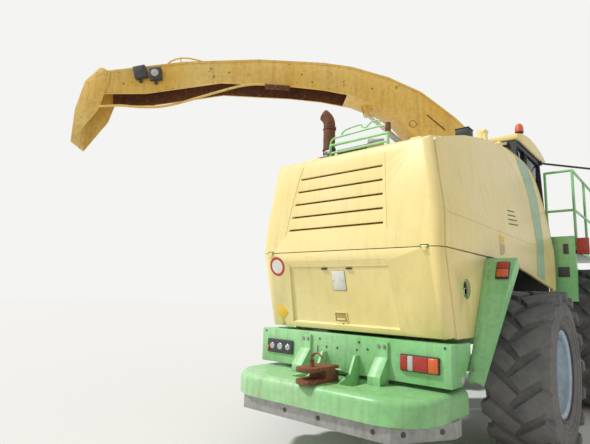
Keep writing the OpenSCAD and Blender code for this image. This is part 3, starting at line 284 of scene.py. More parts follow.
def makeLens(name, tint, dusty, bands):  # pressed acrylic lens with fine ribs, 9 mm apart so that they show
    made, tree, shader, place = startMaterial(name, lensShader)
    wave = {"Scale": 35, "bands_direction": bands, "wave_type": "BANDS"}
    ribs = add(tree, "TexWave", wave, {"Vector": place}).outputs["Fac"]
    haze = add(tree, "TexNoise", {"Scale": 20, "Detail": 6}, {"Vector": place}).outputs["Fac"]
    shade = add(tree, "MapRange", {"From Min": 0.3, "From Max": 0.8, "To Max": 0.4}, {"Value": haze})
    colours = {"data_type": "RGBA", 6: rgb(tint), 7: rgb(dusty)}
    colour = add(tree, "Mix", colours, {0: shade.outputs[0]}).outputs[2]
    rough = add(tree, "MapRange", {"To Min": 0.12, "To Max": 0.4}, {"Value": haze}).outputs[0]
    closeMaterial(tree, shader, colour, rough, ribs, (0.35, 0.003))
    return made


finish["lamp_plastic"] = makeLens("acrylic_lens_red", "#C22418", "#A8493A", "X")
finish["orangeLens"] = makeLens("acrylic_lens_orange", "#F0641E", "#C9743F", "Z")
finish["clearLens"] = makeLens("acrylic_lens_clear", "#D9D6CC", "#A9A598", "X")


def makeCloth(name, look):  # woven seat cloth: threads drawn 6 mm apart so that they show
    made, tree, shader, place = startMaterial(name, {"Sheen Weight": 0.3, "Sheen Roughness": 0.5})
    warp, weft = (
        add(tree, "TexWave", {"Scale": 52, "bands_direction": way}, {"Vector": place}).outputs["Fac"]
        for way in ("X", "Z")
    )
    weave = add(tree, "Math", {"operation": "MULTIPLY"}, {0: warp, 1: weft}).outputs[0]
    wear = add(tree, "TexNoise", {"Scale": 6, "Detail": 6}, {"Vector": place}).outputs["Fac"]
    thread = add(tree, "Math", {"operation": "MULTIPLY"}, {0: weave, 1: wear}).outputs[0]
    colours = {"data_type": "RGBA", 6: rgb(look["dark"]), 7: rgb(look["light"])}
    colour = add(tree, "Mix", colours, {0: thread}).outputs[2]
    rough = add(tree, "MapRange", {"To Min": 0.75, "To Max": 0.95}, {"Value": wear}).outputs[0]
    closeMaterial(tree, shader, colour, rough, weave, (0.4, 0.002))
    return made


finish["seat_cloth"] = makeCloth("woven_seat_cloth", {"dark": "#222326", "light": "#6A6C70"})
for sub in frame["record"]["subparts"]:
    mesh = nodes[sub["node"]].data
    mesh.materials.clear()
    mesh.materials.append(finish[sub["material_slot"]])
print("materials ready:", len(finish))

# floor, light and background
studio = {
    "floor": "#DEDDDA", "reach": 60, "back": "#F4F4F2", "sky": 0.6,
    "sun": 2.75, "sunTurn": (42, 0, -42), "softness": 6,
}


def makeStudio():
    bm = bmesh.new()
    below = Matrix.Translation(at(0, 0, -0.002))
    bmesh.ops.create_circle(bm, cap_ends=True, radius=studio["reach"], segments=64, matrix=below)
    mesh = bpy.data.meshes.new("floor")
    bm.to_mesh(mesh)
    bm.free()
    floor = bpy.data.objects.new("floor", mesh)
    bpy.context.scene.collection.objects.link(floor)
    pale = {"Base Color": rgb(studio["floor"]), "Roughness": 0.9}
    mesh.materials.append(startMaterial("pale_floor", pale)[0])
    world = bpy.data.worlds.new("studio")
    bpy.context.scene.world = world
    world.use_nodes = True
    tree = world.node_tree
    # the background shows at full strength, and lights the scene at less
    rays = add(tree, "LightPath").outputs
    seen = rays["Is Camera Ray"]
    for ray in ("Is Transmission Ray", "Is Glossy Ray"):
        seen = add(tree, "Math", {"operation": "MAXIMUM"}, {0: seen, 1: rays[ray]}).outputs[0]
    strength = add(tree, "MapRange", {"To Min": studio["sky"], "To Max": 1.0}, {"Value": seen}).outputs[0]
    back = tree.nodes["Background"]
    back.inputs["Color"].default_value = rgb(studio["back"])
    tree.links.new(strength, back.inputs["Strength"])
    lamp = bpy.data.lights.new("key", "SUN")
    lamp.energy = studio["sun"]
    lamp.angle = math.radians(studio["softness"])
    key = bpy.data.objects.new("key", lamp)
    key.rotation_euler = [math.radians(a) for a in studio["sunTurn"]]
    bpy.context.scene.collection.objects.link(key)
    bpy.context.scene.view_settings.view_transform = "Standard"


makeStudio()
print("studio ready")

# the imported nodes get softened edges: sheet and castings never have knife edges
edgeWidth = {
    "rear_crossmember": 0.006, "tail_hood": 0.007, "rear_flap": 0.007, "side_panel_l": 0.006,
    "side_panel_r": 0.006, "lower_sides": 0.006, "hood_deck": 0.006, "cab_roof": 0.022,
    "feed_house": 0.006, "front_tyre_l": 0.012, "front_tyre_r": 0.012, "rear_tyre_l": 0.012,
    "rear_tyre_r": 0.012, "fuel_tank": 0.02,
}


def softenNode(node, width):
    node.data.polygons.foreach_set("use_smooth", [True] * len(node.data.polygons))
    weld = node.modifiers.new("weld", "WELD")
    weld.merge_threshold = 0.00005
    edges = node.modifiers.new("edges", "BEVEL")
    edges.width = width
    edges.segments = 2
    edges.angle_limit = math.radians(32)
    edges.harden_normals = True


for name, node in nodes.items():
    softenNode(node, edgeWidth.get(name, 0.003))
print("edges softened")


# tools for the pieces
def turned(turn):  # degrees about X, Y and Z, in that order
    return Euler([math.radians(a) for a in turn]).to_matrix().to_4x4()


def roundEdges(bm, edges, width, steps=2):
    bmesh.ops.bevel(
        bm, geom=list(edges), offset=width, offset_type="OFFSET", segments=steps, profile=0.5,
        affect="EDGES", material=-1, clamp_overlap=True,
    )


def block(bm, centre, size, turn=(0, 0, 0), spin=0, edge=0.003):
    place = Matrix.Translation(centre) @ turned(turn) @ turned((0, spin, 0)) @ Matrix.Diagonal((*size, 1))
    verts = bmesh.ops.create_cube(bm, size=1, matrix=place)["verts"]
    roundEdges(bm, {e for v in verts for e in v.link_edges}, min(edge, min(size) * 0.45))


def drum(bm, centre, radius, depth, turn=(0, 0, 0), sides=24, edge=0, top=None):
    place = Matrix.Translation(centre) @ turned(turn)
    verts = bmesh.ops.create_cone(
        bm, cap_ends=True, segments=sides, radius1=radius, radius2=radius if top is None else top,
        depth=depth, matrix=place,
    )["verts"]
    if edge:
        rims = {e for v in verts for e in v.link_edges if any(len(f.verts) > 4 for f in e.link_faces)}
        roundEdges(bm, rims, edge)


def pipe(bm, points, radius, closed=False, sides=2):
    curve = bpy.data.curves.new("pipe", "CURVE")
    curve.dimensions = "3D"
    curve.bevel_depth = radius
    curve.bevel_resolution = sides
    curve.use_fill_caps = True
    line = curve.splines.new("POLY")
    line.points.add(len(points) - 1)
    for knot, point in zip(line.points, points):
        knot.co = (*point, 1)
    line.use_cyclic_u = closed
    holder = bpy.data.objects.new("pipe", curve)
    made = bpy.data.meshes.new_from_object(holder)
    bm.from_mesh(made)
    bpy.data.objects.remove(holder)
    bpy.data.meshes.remove(made)
    bpy.data.curves.remove(curve)


def smoothLine(points, steps=5):  # a Catmull-Rom line through the points
    knots = [Vector(p) for p in points]
    knots = [knots[0] * 2 - knots[1]] + knots + [knots[-1] * 2 - knots[-2]]
    line = []
    for a, b, c, d in zip(knots, knots[1:], knots[2:], knots[3:]):
        for i in range(steps):
            t = i / steps
            straight = 2 * b + (c - a) * t
            curved = straight + (2 * a - 5 * b + 4 * c - d) * t**2
            line.append(0.5 * (curved + (3 * b - a - 3 * c + d) * t**3))
    return line + [knots[-2]]


def circleLine(centre, radius, turn=(0, 0, 0), count=40):
    place = Matrix.Translation(centre) @ turned(turn)
    return [
        place @ Vector((radius * math.cos(math.tau * i / count), radius * math.sin(math.tau * i / count), 0))
        for i in range(count)
    ]


def slab(bm, outline, shift):  # a flat outline, drawn out along shift
    face = bm.faces.new([bm.verts.new(p) for p in outline])
    grown = bmesh.ops.extrude_face_region(bm, geom=[face])["geom"]
    bmesh.ops.translate(bm, vec=shift, verts=[g for g in grown if isinstance(g, bmesh.types.BMVert)])


def finishPiece(bm, name, body, slotName, look=None):
    bmesh.ops.remove_doubles(bm, verts=bm.verts, dist=0.00001)
    bmesh.ops.recalc_face_normals(bm, faces=bm.faces)
    mesh = bpy.data.meshes.new(name)
    bm.to_mesh(mesh)
    bm.free()
    mesh.polygons.foreach_set("use_smooth", [True] * len(mesh.polygons))
    mesh.set_sharp_from_angle(angle=math.radians(38))
    mesh.materials.append(finish[look or slotName])
    piece = bpy.data.objects.new(name, mesh)
    bpy.context.scene.collection.objects.link(piece)
    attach(piece, body)
    return piece


# the hood's rear: louvre blades, screen, pressed border and hinge screws
tail = {
    "y": -1.745, "seam": 1.883, "lean": 4, "louvres": 5, "lowest": 2.105, "pitch": 0.133,
    "left": (-0.63, 0.028), "right": (0.472, -0.007),  # the lowest blade's ends, and their step upwards
    "screenX": -0.08, "screenZ": 2.38, "ribs": 9, "lowestRib": 2.07, "ribPitch": 0.078,
    "leftEdge": ((-0.672, 2.06), (-0.622, 2.33), (-0.556, 2.6), (-0.50, 2.775)),
    "rightEdge": ((0.512, 2.06), (0.482, 2.42), (0.462, 2.775)), "hinge": (0.6, -1.372, 2.938),
}


def onTail(x, z, out=0.0):
    return at(x, tail["y"] + math.tan(math.radians(tail["lean"])) * (z - tail["seam"]) - out, z)


def makeTailDetails():
    blades, dark, border, hinges = (bmesh.new() for _ in range(4))
    back = (-tail["lean"], 0, 0)
    for i in range(tail["louvres"]):
        x0, x1 = (end + step * i for end, step in (tail["left"], tail["right"]))
        z = tail["lowest"] + i * tail["pitch"] + 0.006
        block(blades, onTail((x0 + x1) / 2, z, -0.024), (x1 - x0, 0.034, 0.003), (30, 0, 0), edge=0.001)
    block(dark, onTail(tail["screenX"], tail["screenZ"], -0.082), (1.24, 0.008, 0.7), back)
    for i in range(tail["ribs"]):
        z = tail["lowestRib"] + i * tail["ribPitch"]
        block(dark, onTail(tail["screenX"], z, -0.072), (1.2, 0.012, 0.008), back)
    pipe(border, smoothLine([onTail(*p) for p in tail["leftEdge"]]), 0.005)
    pipe(border, [onTail(*p) for p in tail["rightEdge"]], 0.004)
    x, y, z = tail["hinge"]
    for middle in (-x, x):
        for dx in (-0.02, 0.02):
            drum(hinges, at(middle + dx, y, z), 0.007, 0.008, (-15, 0, 0), 6)
    finishPiece(blades, "louvre_blades", "tail_door", "hood_paint")
    finishPiece(dark, "louvre_screen", "tail_door", "engine_iron")
    finishPiece(border, "louvre_border", "tail_door", "hood_paint")
    finishPiece(hinges, "hood_hinge_screws", "tail_door", "galvanised")


makeTailDetails()

# the lower flap: blank plate, its lamps, latch, round sign and diamond sign, all without a word
flap = {
    "lean": math.degrees(math.atan2(0.195, 0.737)), "top": (-1.745, 1.883), "recess": -0.0215,
    "plate": (-0.045, 1.607), "plateSize": (0.145, 0.185), "lampX": (-0.195, 0.09), "lampZ": 1.718,
    "latch": (-0.072, 1.265), "lock": (-0.052, 1.202), "round": (-0.79, 1.752),
    "diamond": (-0.81, 1.282), "strip": (-0.805, 1.172),
    "browShade": ((-0.612, 1.793), (0.492, 1.793), (0.503, 1.73), (-0.627, 1.73)),  # the recess's shaded top edge
}


def onFlap(x, z, out=0.0):
    lean = math.radians(flap["lean"])
    y = flap["top"][0] + (flap["top"][1] - z) * math.tan(lean)
    return at(x, y - out * math.cos(lean), z - out * math.sin(lean))


def makeFlapDetails():
    turn, facing, deep = (flap["lean"], 0, 0), (90 + flap["lean"], 0, 0), flap["recess"]
    blank, trim, latch, lamps, ring, disc, diamond, strip = (bmesh.new() for _ in range(8))
    x, z = flap["plate"]
    wide, high = flap["plateSize"]
    block(blank, onFlap(x, z, deep + 0.004), (wide, 0.003, high), turn, edge=0.001)
    block(trim, onFlap(x, z, deep + 0.001), (wide + 0.012, 0.004, high + 0.012), turn)
    for dx in (-0.06, 0.06):
        drum(trim, onFlap(x + dx, z, deep + 0.006), 0.005, 0.004, facing, 12)
    # browShade: a thin slab in the darker cream, painted shade on the recess's top edge
    top, foot = flap["browShade"][:2], flap["browShade"][2:]
    browShade = [onFlap(*p, 0.0006) for p in top] + [onFlap(*p, deep + 0.001) for p in foot]
    slab(trim, browShade, Vector((0, 0.0008, 0)))
    # latch pocket: a pan in painted shade with a lever above a plate with its lock
    x, z = flap["latch"]
    block(trim, onFlap(x, z, deep + 0.0005), (0.125, 0.003, 0.078), turn, edge=0.001)
    for dx in (-0.0675, 0.0675):
        block(latch, onFlap(x + dx, z, deep + 0.004), (0.01, 0.008, 0.088), turn)
    block(latch, onFlap(x, z + 0.043, deep + 0.004), (0.145, 0.008, 0.01), turn)
    block(latch, onFlap(x, z - 0.065, deep + 0.003), (0.135, 0.006, 0.055), turn)
    block(latch, onFlap(x, z - 0.02, deep + 0.006), (0.1, 0.012, 0.02), turn, edge=0.005)
    for x in flap["lampX"]:
        block(lamps, onFlap(x, flap["lampZ"], -0.012), (0.062, 0.016, 0.017), turn)
    drum(lamps, onFlap(*flap["lock"], deep + 0.007), 0.009, 0.005, facing, 16, 0.001)
    drum(ring, onFlap(*flap["round"], 0.0015), 0.1, 0.003, facing, 48)
    drum(disc, onFlap(*flap["round"], 0.003), 0.073, 0.002, facing, 48)
    block(diamond, onFlap(*flap["diamond"], 0.0015), (0.125, 0.003, 0.125), turn, 45, 0.0008)
    block(strip, onFlap(*flap["strip"], 0.001), (0.045, 0.002, 0.05), turn, edge=0.0008)
    finishPiece(blank, "blank_plate", "flap", "galvanised", "plateWhite")
    finishPiece(trim, "plate_holder_and_painted_shade_pans", "flap", "hood_paint", "creamShade")
    finishPiece(latch, "latch_lever", "flap", "hood_paint")
    finishPiece(lamps, "plate_lamps_and_lock", "flap", "cab_trim")
    finishPiece(ring, "round_sign_ring", "flap", "lamp_plastic", "signRed")
    finishPiece(disc, "round_sign_field", "flap", "galvanised", "plateWhite")
    finishPiece(diamond, "diamond_sign", "flap", "spout_paint", "signYellow")
    finishPiece(strip, "label_strip", "flap", "hood_paint", "creamShade")


makeFlapDetails()

# lamps at the rear: a tail lamp each side, the left one broken, and a marker lamp on each arch plate
cross = {"y": -1.64, "lampX": 0.765, "lampZ": 0.942, "lampW": 0.344, "lampH": 0.136, "markerX": 1.187}
plate = {"top": (-0.7, 1.85), "lean": math.degrees(math.atan2(0.55, 1.06)), "t": 0.034}


def onPlate(x, drop, out=0.0):  # on the arch plate's rear face, a way down from its top edge
    lean = math.radians(plate["lean"])
    y, z = -plate["t"] - out, -drop
    return at(x, plate["top"][0] + y * math.cos(lean) + z * math.sin(lean),
              plate["top"][1] - y * math.sin(lean) + z * math.cos(lean))


def makeRearLamps():
    cases, glow, amber, clear, bulbs = (bmesh.new() for _ in range(5))
    y, z, wide, high = (cross[k] for k in ("y", "lampZ", "lampW", "lampH"))
    for sign in (-1, 1):
        block(cases, at(sign * cross["lampX"], y - 0.011, z), (wide, 0.022, high), edge=0.02)
    # the fields of the whole lamp, as shares of its width
    x0, long = cross["lampX"] - wide / 2 + 0.008, wide - 0.016
    for a, b, part in ((0.0, 0.2, glow), (0.2, 0.36, clear), (0.36, 0.74, glow), (0.74, 1.0, amber)):
        size = ((b - a) * long - 0.001, 0.026, high - 0.018)
        block(part, at(x0 + (a + b) / 2 * long, y - 0.027, z), size, edge=0.009)
    # the broken lamp: open pans, a bulb and what is left of its lens
    x0 = -cross["lampX"] - wide / 2
    for i, r in enumerate((0.036, 0.04, 0.036)):
        drum(bulbs, at(x0 + 0.07 + 0.105 * i, y - 0.021, z), r, 0.012, (90, 0, 0), 24, 0.003, 0.8 * r)
    spot = Matrix.Translation(at(x0 + 0.28, y - 0.028, z))
    bmesh.ops.create_uvsphere(bulbs, u_segments=12, v_segments=8, radius=0.013, matrix=spot)
    block(amber, at(x0 + 0.021, y - 0.026, z - 0.02), (0.024, 0.01, 0.05), (0, 14, 0))
    turn = (-plate["lean"], 0, 0)
    for sign in (-1, 1):
        x = sign * cross["markerX"]
        block(cases, onPlate(x - 0.006, 0.14, 0.009), (0.118, 0.018, 0.175), turn, edge=0.006)
        block(glow, onPlate(x, 0.095, 0.027), (0.1, 0.024, 0.075), turn, edge=0.008)
        block(amber, onPlate(x, 0.176, 0.027), (0.1, 0.024, 0.08), turn, edge=0.008)
    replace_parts(finishPiece(cases, "rear_lamp_cases", "chassis", "cab_trim"), "rear_lamps")
    finishPiece(glow, "rear_lamp_red", "chassis", "lamp_plastic")
    finishPiece(amber, "rear_lamp_orange", "chassis", "lamp_plastic", "orangeLens")
    finishPiece(clear, "rear_lamp_clear", "chassis", "lamp_plastic", "clearLens")
    finishPiece(bulbs, "broken_lamp_insides", "chassis", "rod_chrome")


makeRearLamps()

# crossmember and hitch: bolts, holes as dark discs of painted shade, gussets, pin, the reflectors on the ends and
# the bar's holes
hitch = {
    "bolts": (0.42, -1.666, 1.052), "reflector": (1.0265, -1.417, 0.83),
    "pinY": -2.085, "pinBolts": (0.07, -1.87), "pinBoltZ": (0.779, 0.869), "bar": (-2.13, 0.487),
    "holes": ((-0.263, 1.057), (-0.181, 0.991), (-0.058, 0.992), (0.157, 0.994), (0.18, 1.063),
              (0.27, 1.01), (0.975, 1.085), (-0.975, 1.085), (0.33, 0.9), (-0.33, 0.9)),
    "gusset": ((-1.639, 0.95), (-1.639, 0.66), (-1.96, 0.66), (-1.96, 0.735), (-1.78, 0.8), (-1.70, 0.95)),
    "gussetX": (-0.2, 0.16), "barHoles": (-0.25, 0.111, 0.62),
}


def makeCrossDetails():
    bolts, holes, gussets, eyes, pins, barHoles = (bmesh.new() for _ in range(6))
    rearward = (90, 0, 0)
    for sign in (-1, 1):
        x, y, z = hitch["bolts"]
        for dx in (-0.028, 0.028):
            drum(bolts, at(sign * x + dx, y, z), 0.018, 0.004, rearward, 24)
            drum(bolts, at(sign * x + dx, y - 0.005, z), 0.011, 0.01, rearward, 6)
        x, y, z = hitch["reflector"]
        drum(eyes, at(sign * x, y, z), 0.032, 0.004, (0, 90, 0), 28, 0.001)
    face = cross["y"] - 0.001
    # each hole and the slot are dark discs and a dark block: painted shade in the openings
    for x, z in hitch["holes"]:
        drum(holes, at(x, face, z), 0.011, 0.004, rearward, 16)
    block(holes, at(-0.285, face, 0.965), (0.012, 0.003, 0.06))
    for x in hitch["gussetX"]:
        slab(gussets, [at(x, y, z) for y, z in hitch["gusset"]], Vector((0.022, 0, 0)))
    block(gussets, at(-0.009, -1.79, 0.815), (0.34, 0.2, 0.014), (-18, 0, 0))
    y = hitch["pinY"]
    drum(pins, at(0, y, 0.83), 0.0185, 0.2, sides=24, edge=0.003)
    grip = ((0, y, 0.92), (0, y, 0.965), (0.05, y + 0.01, 0.985), (0.1, y + 0.015, 0.95))
    pipe(pins, smoothLine([at(*p) for p in grip]), 0.008)
    x, y = hitch["pinBolts"]
    for sign in (-1, 1):
        for z in hitch["pinBoltZ"]:
            drum(pins, at(sign * x, y, z), 0.014, 0.012, sides=6)
    # holes in the under-run bar as dark discs of painted shade: three behind, two in each swept end
    y, z = hitch["bar"]
    for x in hitch["barHoles"]:
        drum(barHoles, at(x, y - 0.0005, z), 0.02, 0.003, rearward, 20)
    for t in (0.2, 0.8):
        for sign in (-1, 1):
            spot = at(sign * (0.76 + 0.28 * t), y + 0.49 * t, z)
            drum(barHoles, spot, 0.022, 0.004, (90, 0, sign * 60.3), 20)
    finishPiece(bolts, "crossmember_bolts", "chassis", "galvanised")
    finishPiece(holes, "crossmember_hole_shade", "chassis", "engine_iron")
    finishPiece(gussets, "hitch_gussets", "chassis", "green_paint")
    finishPiece(eyes, "end_reflectors", "chassis", "lamp_plastic", "clearLens")
    finishPiece(pins, "hitch_pin", "chassis", "rust")
    finishPiece(barHoles, "underrun_bar_hole_shade", "chassis", "engine_iron")


makeCrossDetails()
print("rear pieces ready")

# wheels: nuts, hub plug and valve on each rim, moulded rings on each sidewall
wheels = {
    "rear": {"track": 1.225, "y": 0, "r": 0.79, "w": 0.6, "rim": 0.415, "nuts": 10},
    "front": {"track": 1.325, "y": 3.1, "r": 1.0, "w": 0.7, "rim": 0.47, "nuts": 12},
}
# washer, nut and stud end: distance from the rim, radius, depth, sides
nutParts = ((0.003, 0.024, 0.006, 20), (0.016, 0.017, 0.022, 6), (0.03, 0.009, 0.014, 12))
wallRings = ((-0.35, 0.007), (0.25, 0.006), (0.33, 0.004), (0.7, 0.006))  # share of the sidewall, thickness


def makeWheelDetails(end, sign):
    wheel, hand, across = wheels[end], "right" if sign > 0 else "left", (0, 90, 0)
    wide, rim, body = wheel["w"], wheel["rim"], f"wheel_{end}_{hand}"
    hub, out = at(sign * wheel["track"], wheel["y"], wheel["r"]), Vector((sign, 0, 0))
    nuts, plug, rings = (bmesh.new() for _ in range(3))
    for i in range(wheel["nuts"]):
        turn = math.tau * (i + 0.5) / wheel["nuts"]
        spot = hub + out * 0.12 * wide + Vector((0, math.cos(turn), math.sin(turn))) * rim * 0.53
        for away, radius, depth, sides in nutParts:
            drum(nuts, spot + out * away, radius, depth, across, sides)
    cap = hub + out * 0.2 * wide
    drum(plug, cap + out * 0.004, rim * 0.3, 0.008, across, 36, 0.003)
    drum(plug, cap + out * 0.014, 0.032, 0.016, across, 6, 0.002)
    for i in range(8):
        turn = math.tau * i / 8
        around = Vector((0, math.cos(turn), math.sin(turn))) * rim * 0.24
        drum(plug, cap + out * 0.012 + around, 0.01, 0.01, across, 6)
    valve, lean = hub + out * 0.31 * wide, Vector((0, math.sin(0.5), math.cos(0.5)))
    pipe(plug, [valve + lean * (rim - 0.04), valve + lean * (rim - 0.075) + out * 0.03], 0.006)
    # sidewall: a bead ring, a fine pair and a ring further out
    low, mid = rim + 0.06, (rim + wheel["r"] - 0.048) / 2
    for share, thick in wallRings:
        reach = wide * (0.45 + (0.05 if share > 0 else 0.07) * share)
        for face in (-1, 1):
            centre = hub + Vector((face * reach, 0, 0))
            pipe(rings, circleLine(centre, low + (mid - low) * share, across, 72), thick, True, 1)
    finishPiece(nuts, f"{end}_nuts_{hand[0]}", body, "rust")
    finishPiece(plug, f"{end}_hub_plug_{hand[0]}", body, "rim_paint")
    finishPiece(rings, f"{end}_sidewall_rings_{hand[0]}", body, "tyre_rubber")


for end in wheels:
    for sign in (-1, 1):
        makeWheelDetails(end, sign)
print("wheel pieces ready")

# guard rail: upper hoop with its hook, clamp, lamp, and a dark sheet of painted shade in the opening below it
rail = {
    "y": -1.29, "bar": 3.112, "hoopTube": 0.0105, "hookTube": 0.0085,
    # X, height over the bar
    "hoop": ((-0.445, -0.05), (-0.44, 0.04), (-0.4, 0.078), (-0.30, 0.085), (-0.12, 0.09), (0.1, 0.095),
             (0.22, 0.09), (0.262, 0.05), (0.275, 0)),
    "hook": ((-0.30, 0.085), (-0.285, 0.12), (-0.22, 0.15), (-0.06, 0.162), (-0.03, 0.13), (0.02, 0.12),
             (0.08, 0.16), (0.17, 0.163), (0.178, 0.135)),
}


def makeRailDetails():
    hoop, clamp, lamp, screen, shield = (bmesh.new() for _ in range(5))
    y, z = rail["y"], rail["bar"]
    for line in ("hoop", "hook"):
        pipe(hoop, smoothLine([at(x, y, z + up) for x, up in rail[line]]), rail[line + "Tube"])
    block(clamp, at(-0.47, y, z - 0.07), (0.07, 0.05, 0.05), edge=0.008)
    drum(clamp, at(-0.49, y - 0.03, z - 0.07), 0.012, 0.02, (90, 0, 0), 6)
    block(clamp, at(-0.53, y - 0.01, z - 0.115), (0.14, 0.05, 0.014), edge=0.004)
    block(lamp, at(0.275, y, z + 0.03), (0.05, 0.035, 0.02), edge=0.004)
    drum(lamp, at(0.275, y, z + 0.075), 0.032, 0.075, sides=20, edge=0.008, top=0.026)
    # a dark block in the opening under the rail: painted shade
    block(screen, at(-0.2, y + 0.07, z - 0.085), (0.4, 0.012, 0.09), (8, 0, 0))
    block(shield, at(0.1, y + 0.05, z - 0.07), (0.2, 0.008, 0.12), (8, 12, 0))
    finishPiece(hoop, "rail_hoop", "chassis", "green_paint")
    finishPiece(clamp, "rail_clamp", "chassis", "galvanised")
    finishPiece(lamp, "rail_lamp", "chassis", "rust")
    finishPiece(screen, "rail_opening_shade", "chassis", "engine_iron")
    finishPiece(shield, "rail_shield", "chassis", "galvanised")


makeRailDetails()

# exhaust: clamp bands, and the edges of the opening where it comes through the sloping deck
exhaust = {
    "x": -0.645, "y": -1.05, "bands": (3.16, 3.42),
    "deck": (2.985, -1.21, 0.321),  # its height at this Y, and how it rises forwards
    "opening": (((-0.79, -1.255), (-0.2, -1.255)), ((-0.79, -0.795), (-0.2, -0.795)),
                ((-0.795, -1.26), (-0.795, -0.79)), ((-0.195, -1.26), (-0.195, -0.79))),
}


def makeExhaustDetails():
    bands, edges = bmesh.new(), bmesh.new()
    x, y = exhaust["x"], exhaust["y"]
    for z in exhaust["bands"]:
        pipe(bands, circleLine(at(x, y, z), 0.073, count=36), 0.006, True)
        block(bands, at(x + 0.082, y, z), (0.026, 0.018, 0.03), edge=0.004)
    high, rear, rise = exhaust["deck"]
    for ends in exhaust["opening"]:
        pipe(edges, [at(x, y, high + (y - rear) * rise) for x, y in ends], 0.01)
    finishPiece(bands, "exhaust_bands", "chassis", "rust")
    finishPiece(edges, "exhaust_opening_edge", "chassis", "cab_trim")


makeExhaustDetails()

# side panels: the front part beside the cab, the grey-green band, crease, vent slots and blank labels
side = {
    "line": ((1.4, 1.01), (1.883, 1.01), (2.19, 1.002), (3.6, 0.7787)),  # Z, X of the outer face
    "yaw": math.tan(math.radians(0.8)),
    "rear": -1.655, "front": ((0.64, 3.25), (1.9, 1.64), 0.25), "t": 0.036, "crease": 2.19,
    "creaseY": (-1.6, -0.4, 0.6, 1.0), "slots": 4, "slotsAt": (0.25, 2.33), "slotPitch": 0.052,
    "edge": ((0.3, 3.335), (0.66, 3.372), (1.1, 3.378), (1.45, 3.365), (1.68, 3.31), (1.82, 3.2),
             (1.91, 3.04), (1.965, 2.82), (1.985, 2.5), (1.965, 2.1), (1.93, 1.8), (1.905, 1.645)),
    "band": ((1.0, 1.79), (1.36, 1.74), (1.4, 2.1), (1.55, 2.45), (1.69, 2.8), (1.66, 3.1), (1.58, 3.315),
             (1.4, 3.352), (1.0, 3.352), (1.12, 3.1), (1.22, 2.8), (1.17, 2.45), (1.07, 2.1)),
    # name, Z, height, slot, look
    "labels": (("yellow", 2.1, 0.075, "spout_paint", "signYellow"),
               ("pale", 1.995, 0.12, "hood_paint", "creamShade")),
    "labelY": -0.26,
}


def arcLine(a, b, bulge, count=10):  # points of an arc from a to b that bulges to its left
    a, b = Vector(a), Vector(b)
    c = (b - a).length
    r = (c * c / 4 + bulge * bulge) / (2 * bulge)
    u = (b - a) / c
    v = Vector((-u.y, u.x))
    mid, half = (a + b) / 2 + v * (bulge - r), math.asin(min(1, c / 2 / r))
    return [mid + u * r * math.sin(half * (2 * i / count - 1)) + v * r * math.cos(half * (2 * i / count - 1))
            for i in range(count + 1)]


def sideX(y, z):  # the side panel's outer face
    for (z0, x0), (z1, x1) in zip(side["line"], side["line"][1:]):
        if z <= z1:
            return x0 + (x1 - x0) * (z - z0) / (z1 - z0) + side["yaw"] * (y - side["rear"])
    return side["line"][-1][1]


def sideSheet(outline, sign, out, thick):  # a sheet that lies on the side panel's face
    bm = bmesh.new()
    bm.faces.new([bm.verts.new((0, y, z)) for y, z in outline])
    for z in (tail["seam"], side["crease"], 2.8):  # where the face bends, and once between
        geom = list(bm.verts) + list(bm.edges) + list(bm.faces)
        bmesh.ops.bisect_plane(bm, geom=geom, dist=0.00001, plane_co=(0, 0, z), plane_no=(0, 0, 1))
    inner = bmesh.ops.extrude_face_region(bm, geom=list(bm.faces))["geom"]
    inner = {g for g in inner if isinstance(g, bmesh.types.BMVert)}
    for v in bm.verts:
        y, z = v.co.y, v.co.z
        v.co = at(sign * (sideX(y, z) + out - (thick if v in inner else 0)), y, z)
    return bm


def makeSidePanelDetails(letter, body, sign, reach):  # reach: where the front part ends at most
    edge = [(min(y, reach), z) for y, z in side["edge"]]
    keep = [p for i, p in enumerate(edge) if i == 0 or p != edge[i - 1]]
    back = [(p.x - 0.05, p.y - 0.02) for p in reversed(arcLine(*side["front"]))]
    front = sideSheet(keep + back, sign, 0.001, side["t"] + 0.001)
    finishPiece(front, f"side_front_{letter}", body, "hood_paint")
    band = sideSheet(side["band"], sign, 0.0022, 0.001)
    finishPiece(band, f"stripe_{letter}", body, "green_paint", "stripe_film")
    lines, slots = bmesh.new(), bmesh.new()
    # painted shade: a thin line in the darker cream along the crease, and a thicker one along the front part's
    # edge
    crease = [(y, side["crease"] - 0.008 * (y - side["rear"])) for y in side["creaseY"]]
    pipe(lines, [at(sign * (sideX(y, side["crease"]) - 0.0005), y, z) for y, z in crease], 0.0022)
    pipe(lines, [at(sign * (sideX(y, z) + 0.001), y, z) for y, z in keep[1:]], 0.006)
    finishPiece(lines, f"side_crease_and_edge_shade_{letter}", body, "hood_paint", "creamShade")
    # the vent slots are dark blocks: painted shade in the openings
    y, lowest = side["slotsAt"]
    for i in range(side["slots"]):
        z = lowest + i * side["slotPitch"]
        block(slots, at(sign * (sideX(y, z) - 0.001), y, z), (0.006, 0.36 - 0.03 * i, 0.014), (5, 0, 0))
    finishPiece(slots, f"side_slot_shade_{letter}", body, "engine_iron")


def makeSideLabels():
    for name, z, high, slotName, look in side["labels"]:
        label = bmesh.new()
        y = side["labelY"]
        block(label, at(sideX(y, z) + 0.0005, y, z), (0.002, 0.15, high), edge=0.0008)
        finishPiece(label, f"side_label_{name}", "side_right", slotName, look)


makeSidePanelDetails("r", "side_right", 1, 2.0)
makeSideLabels()
makeSidePanelDetails("l", "side_left", -1, 1.8)

# lower sides and arch plates: service tube in its hole with painted shade behind it, folded edges and screws
lower = {
    "hole": (1.0095, -1.24, 1.56), "holeR": 0.085,
    "folds": ((1.284, 1.105, 0.09), (1.018, 1.018, 0.05)),  # X at the top and at the foot, depth
    "foldDrop": (0.012, 1.185), "screws": (1.045, (0.06, 1.1)),
}


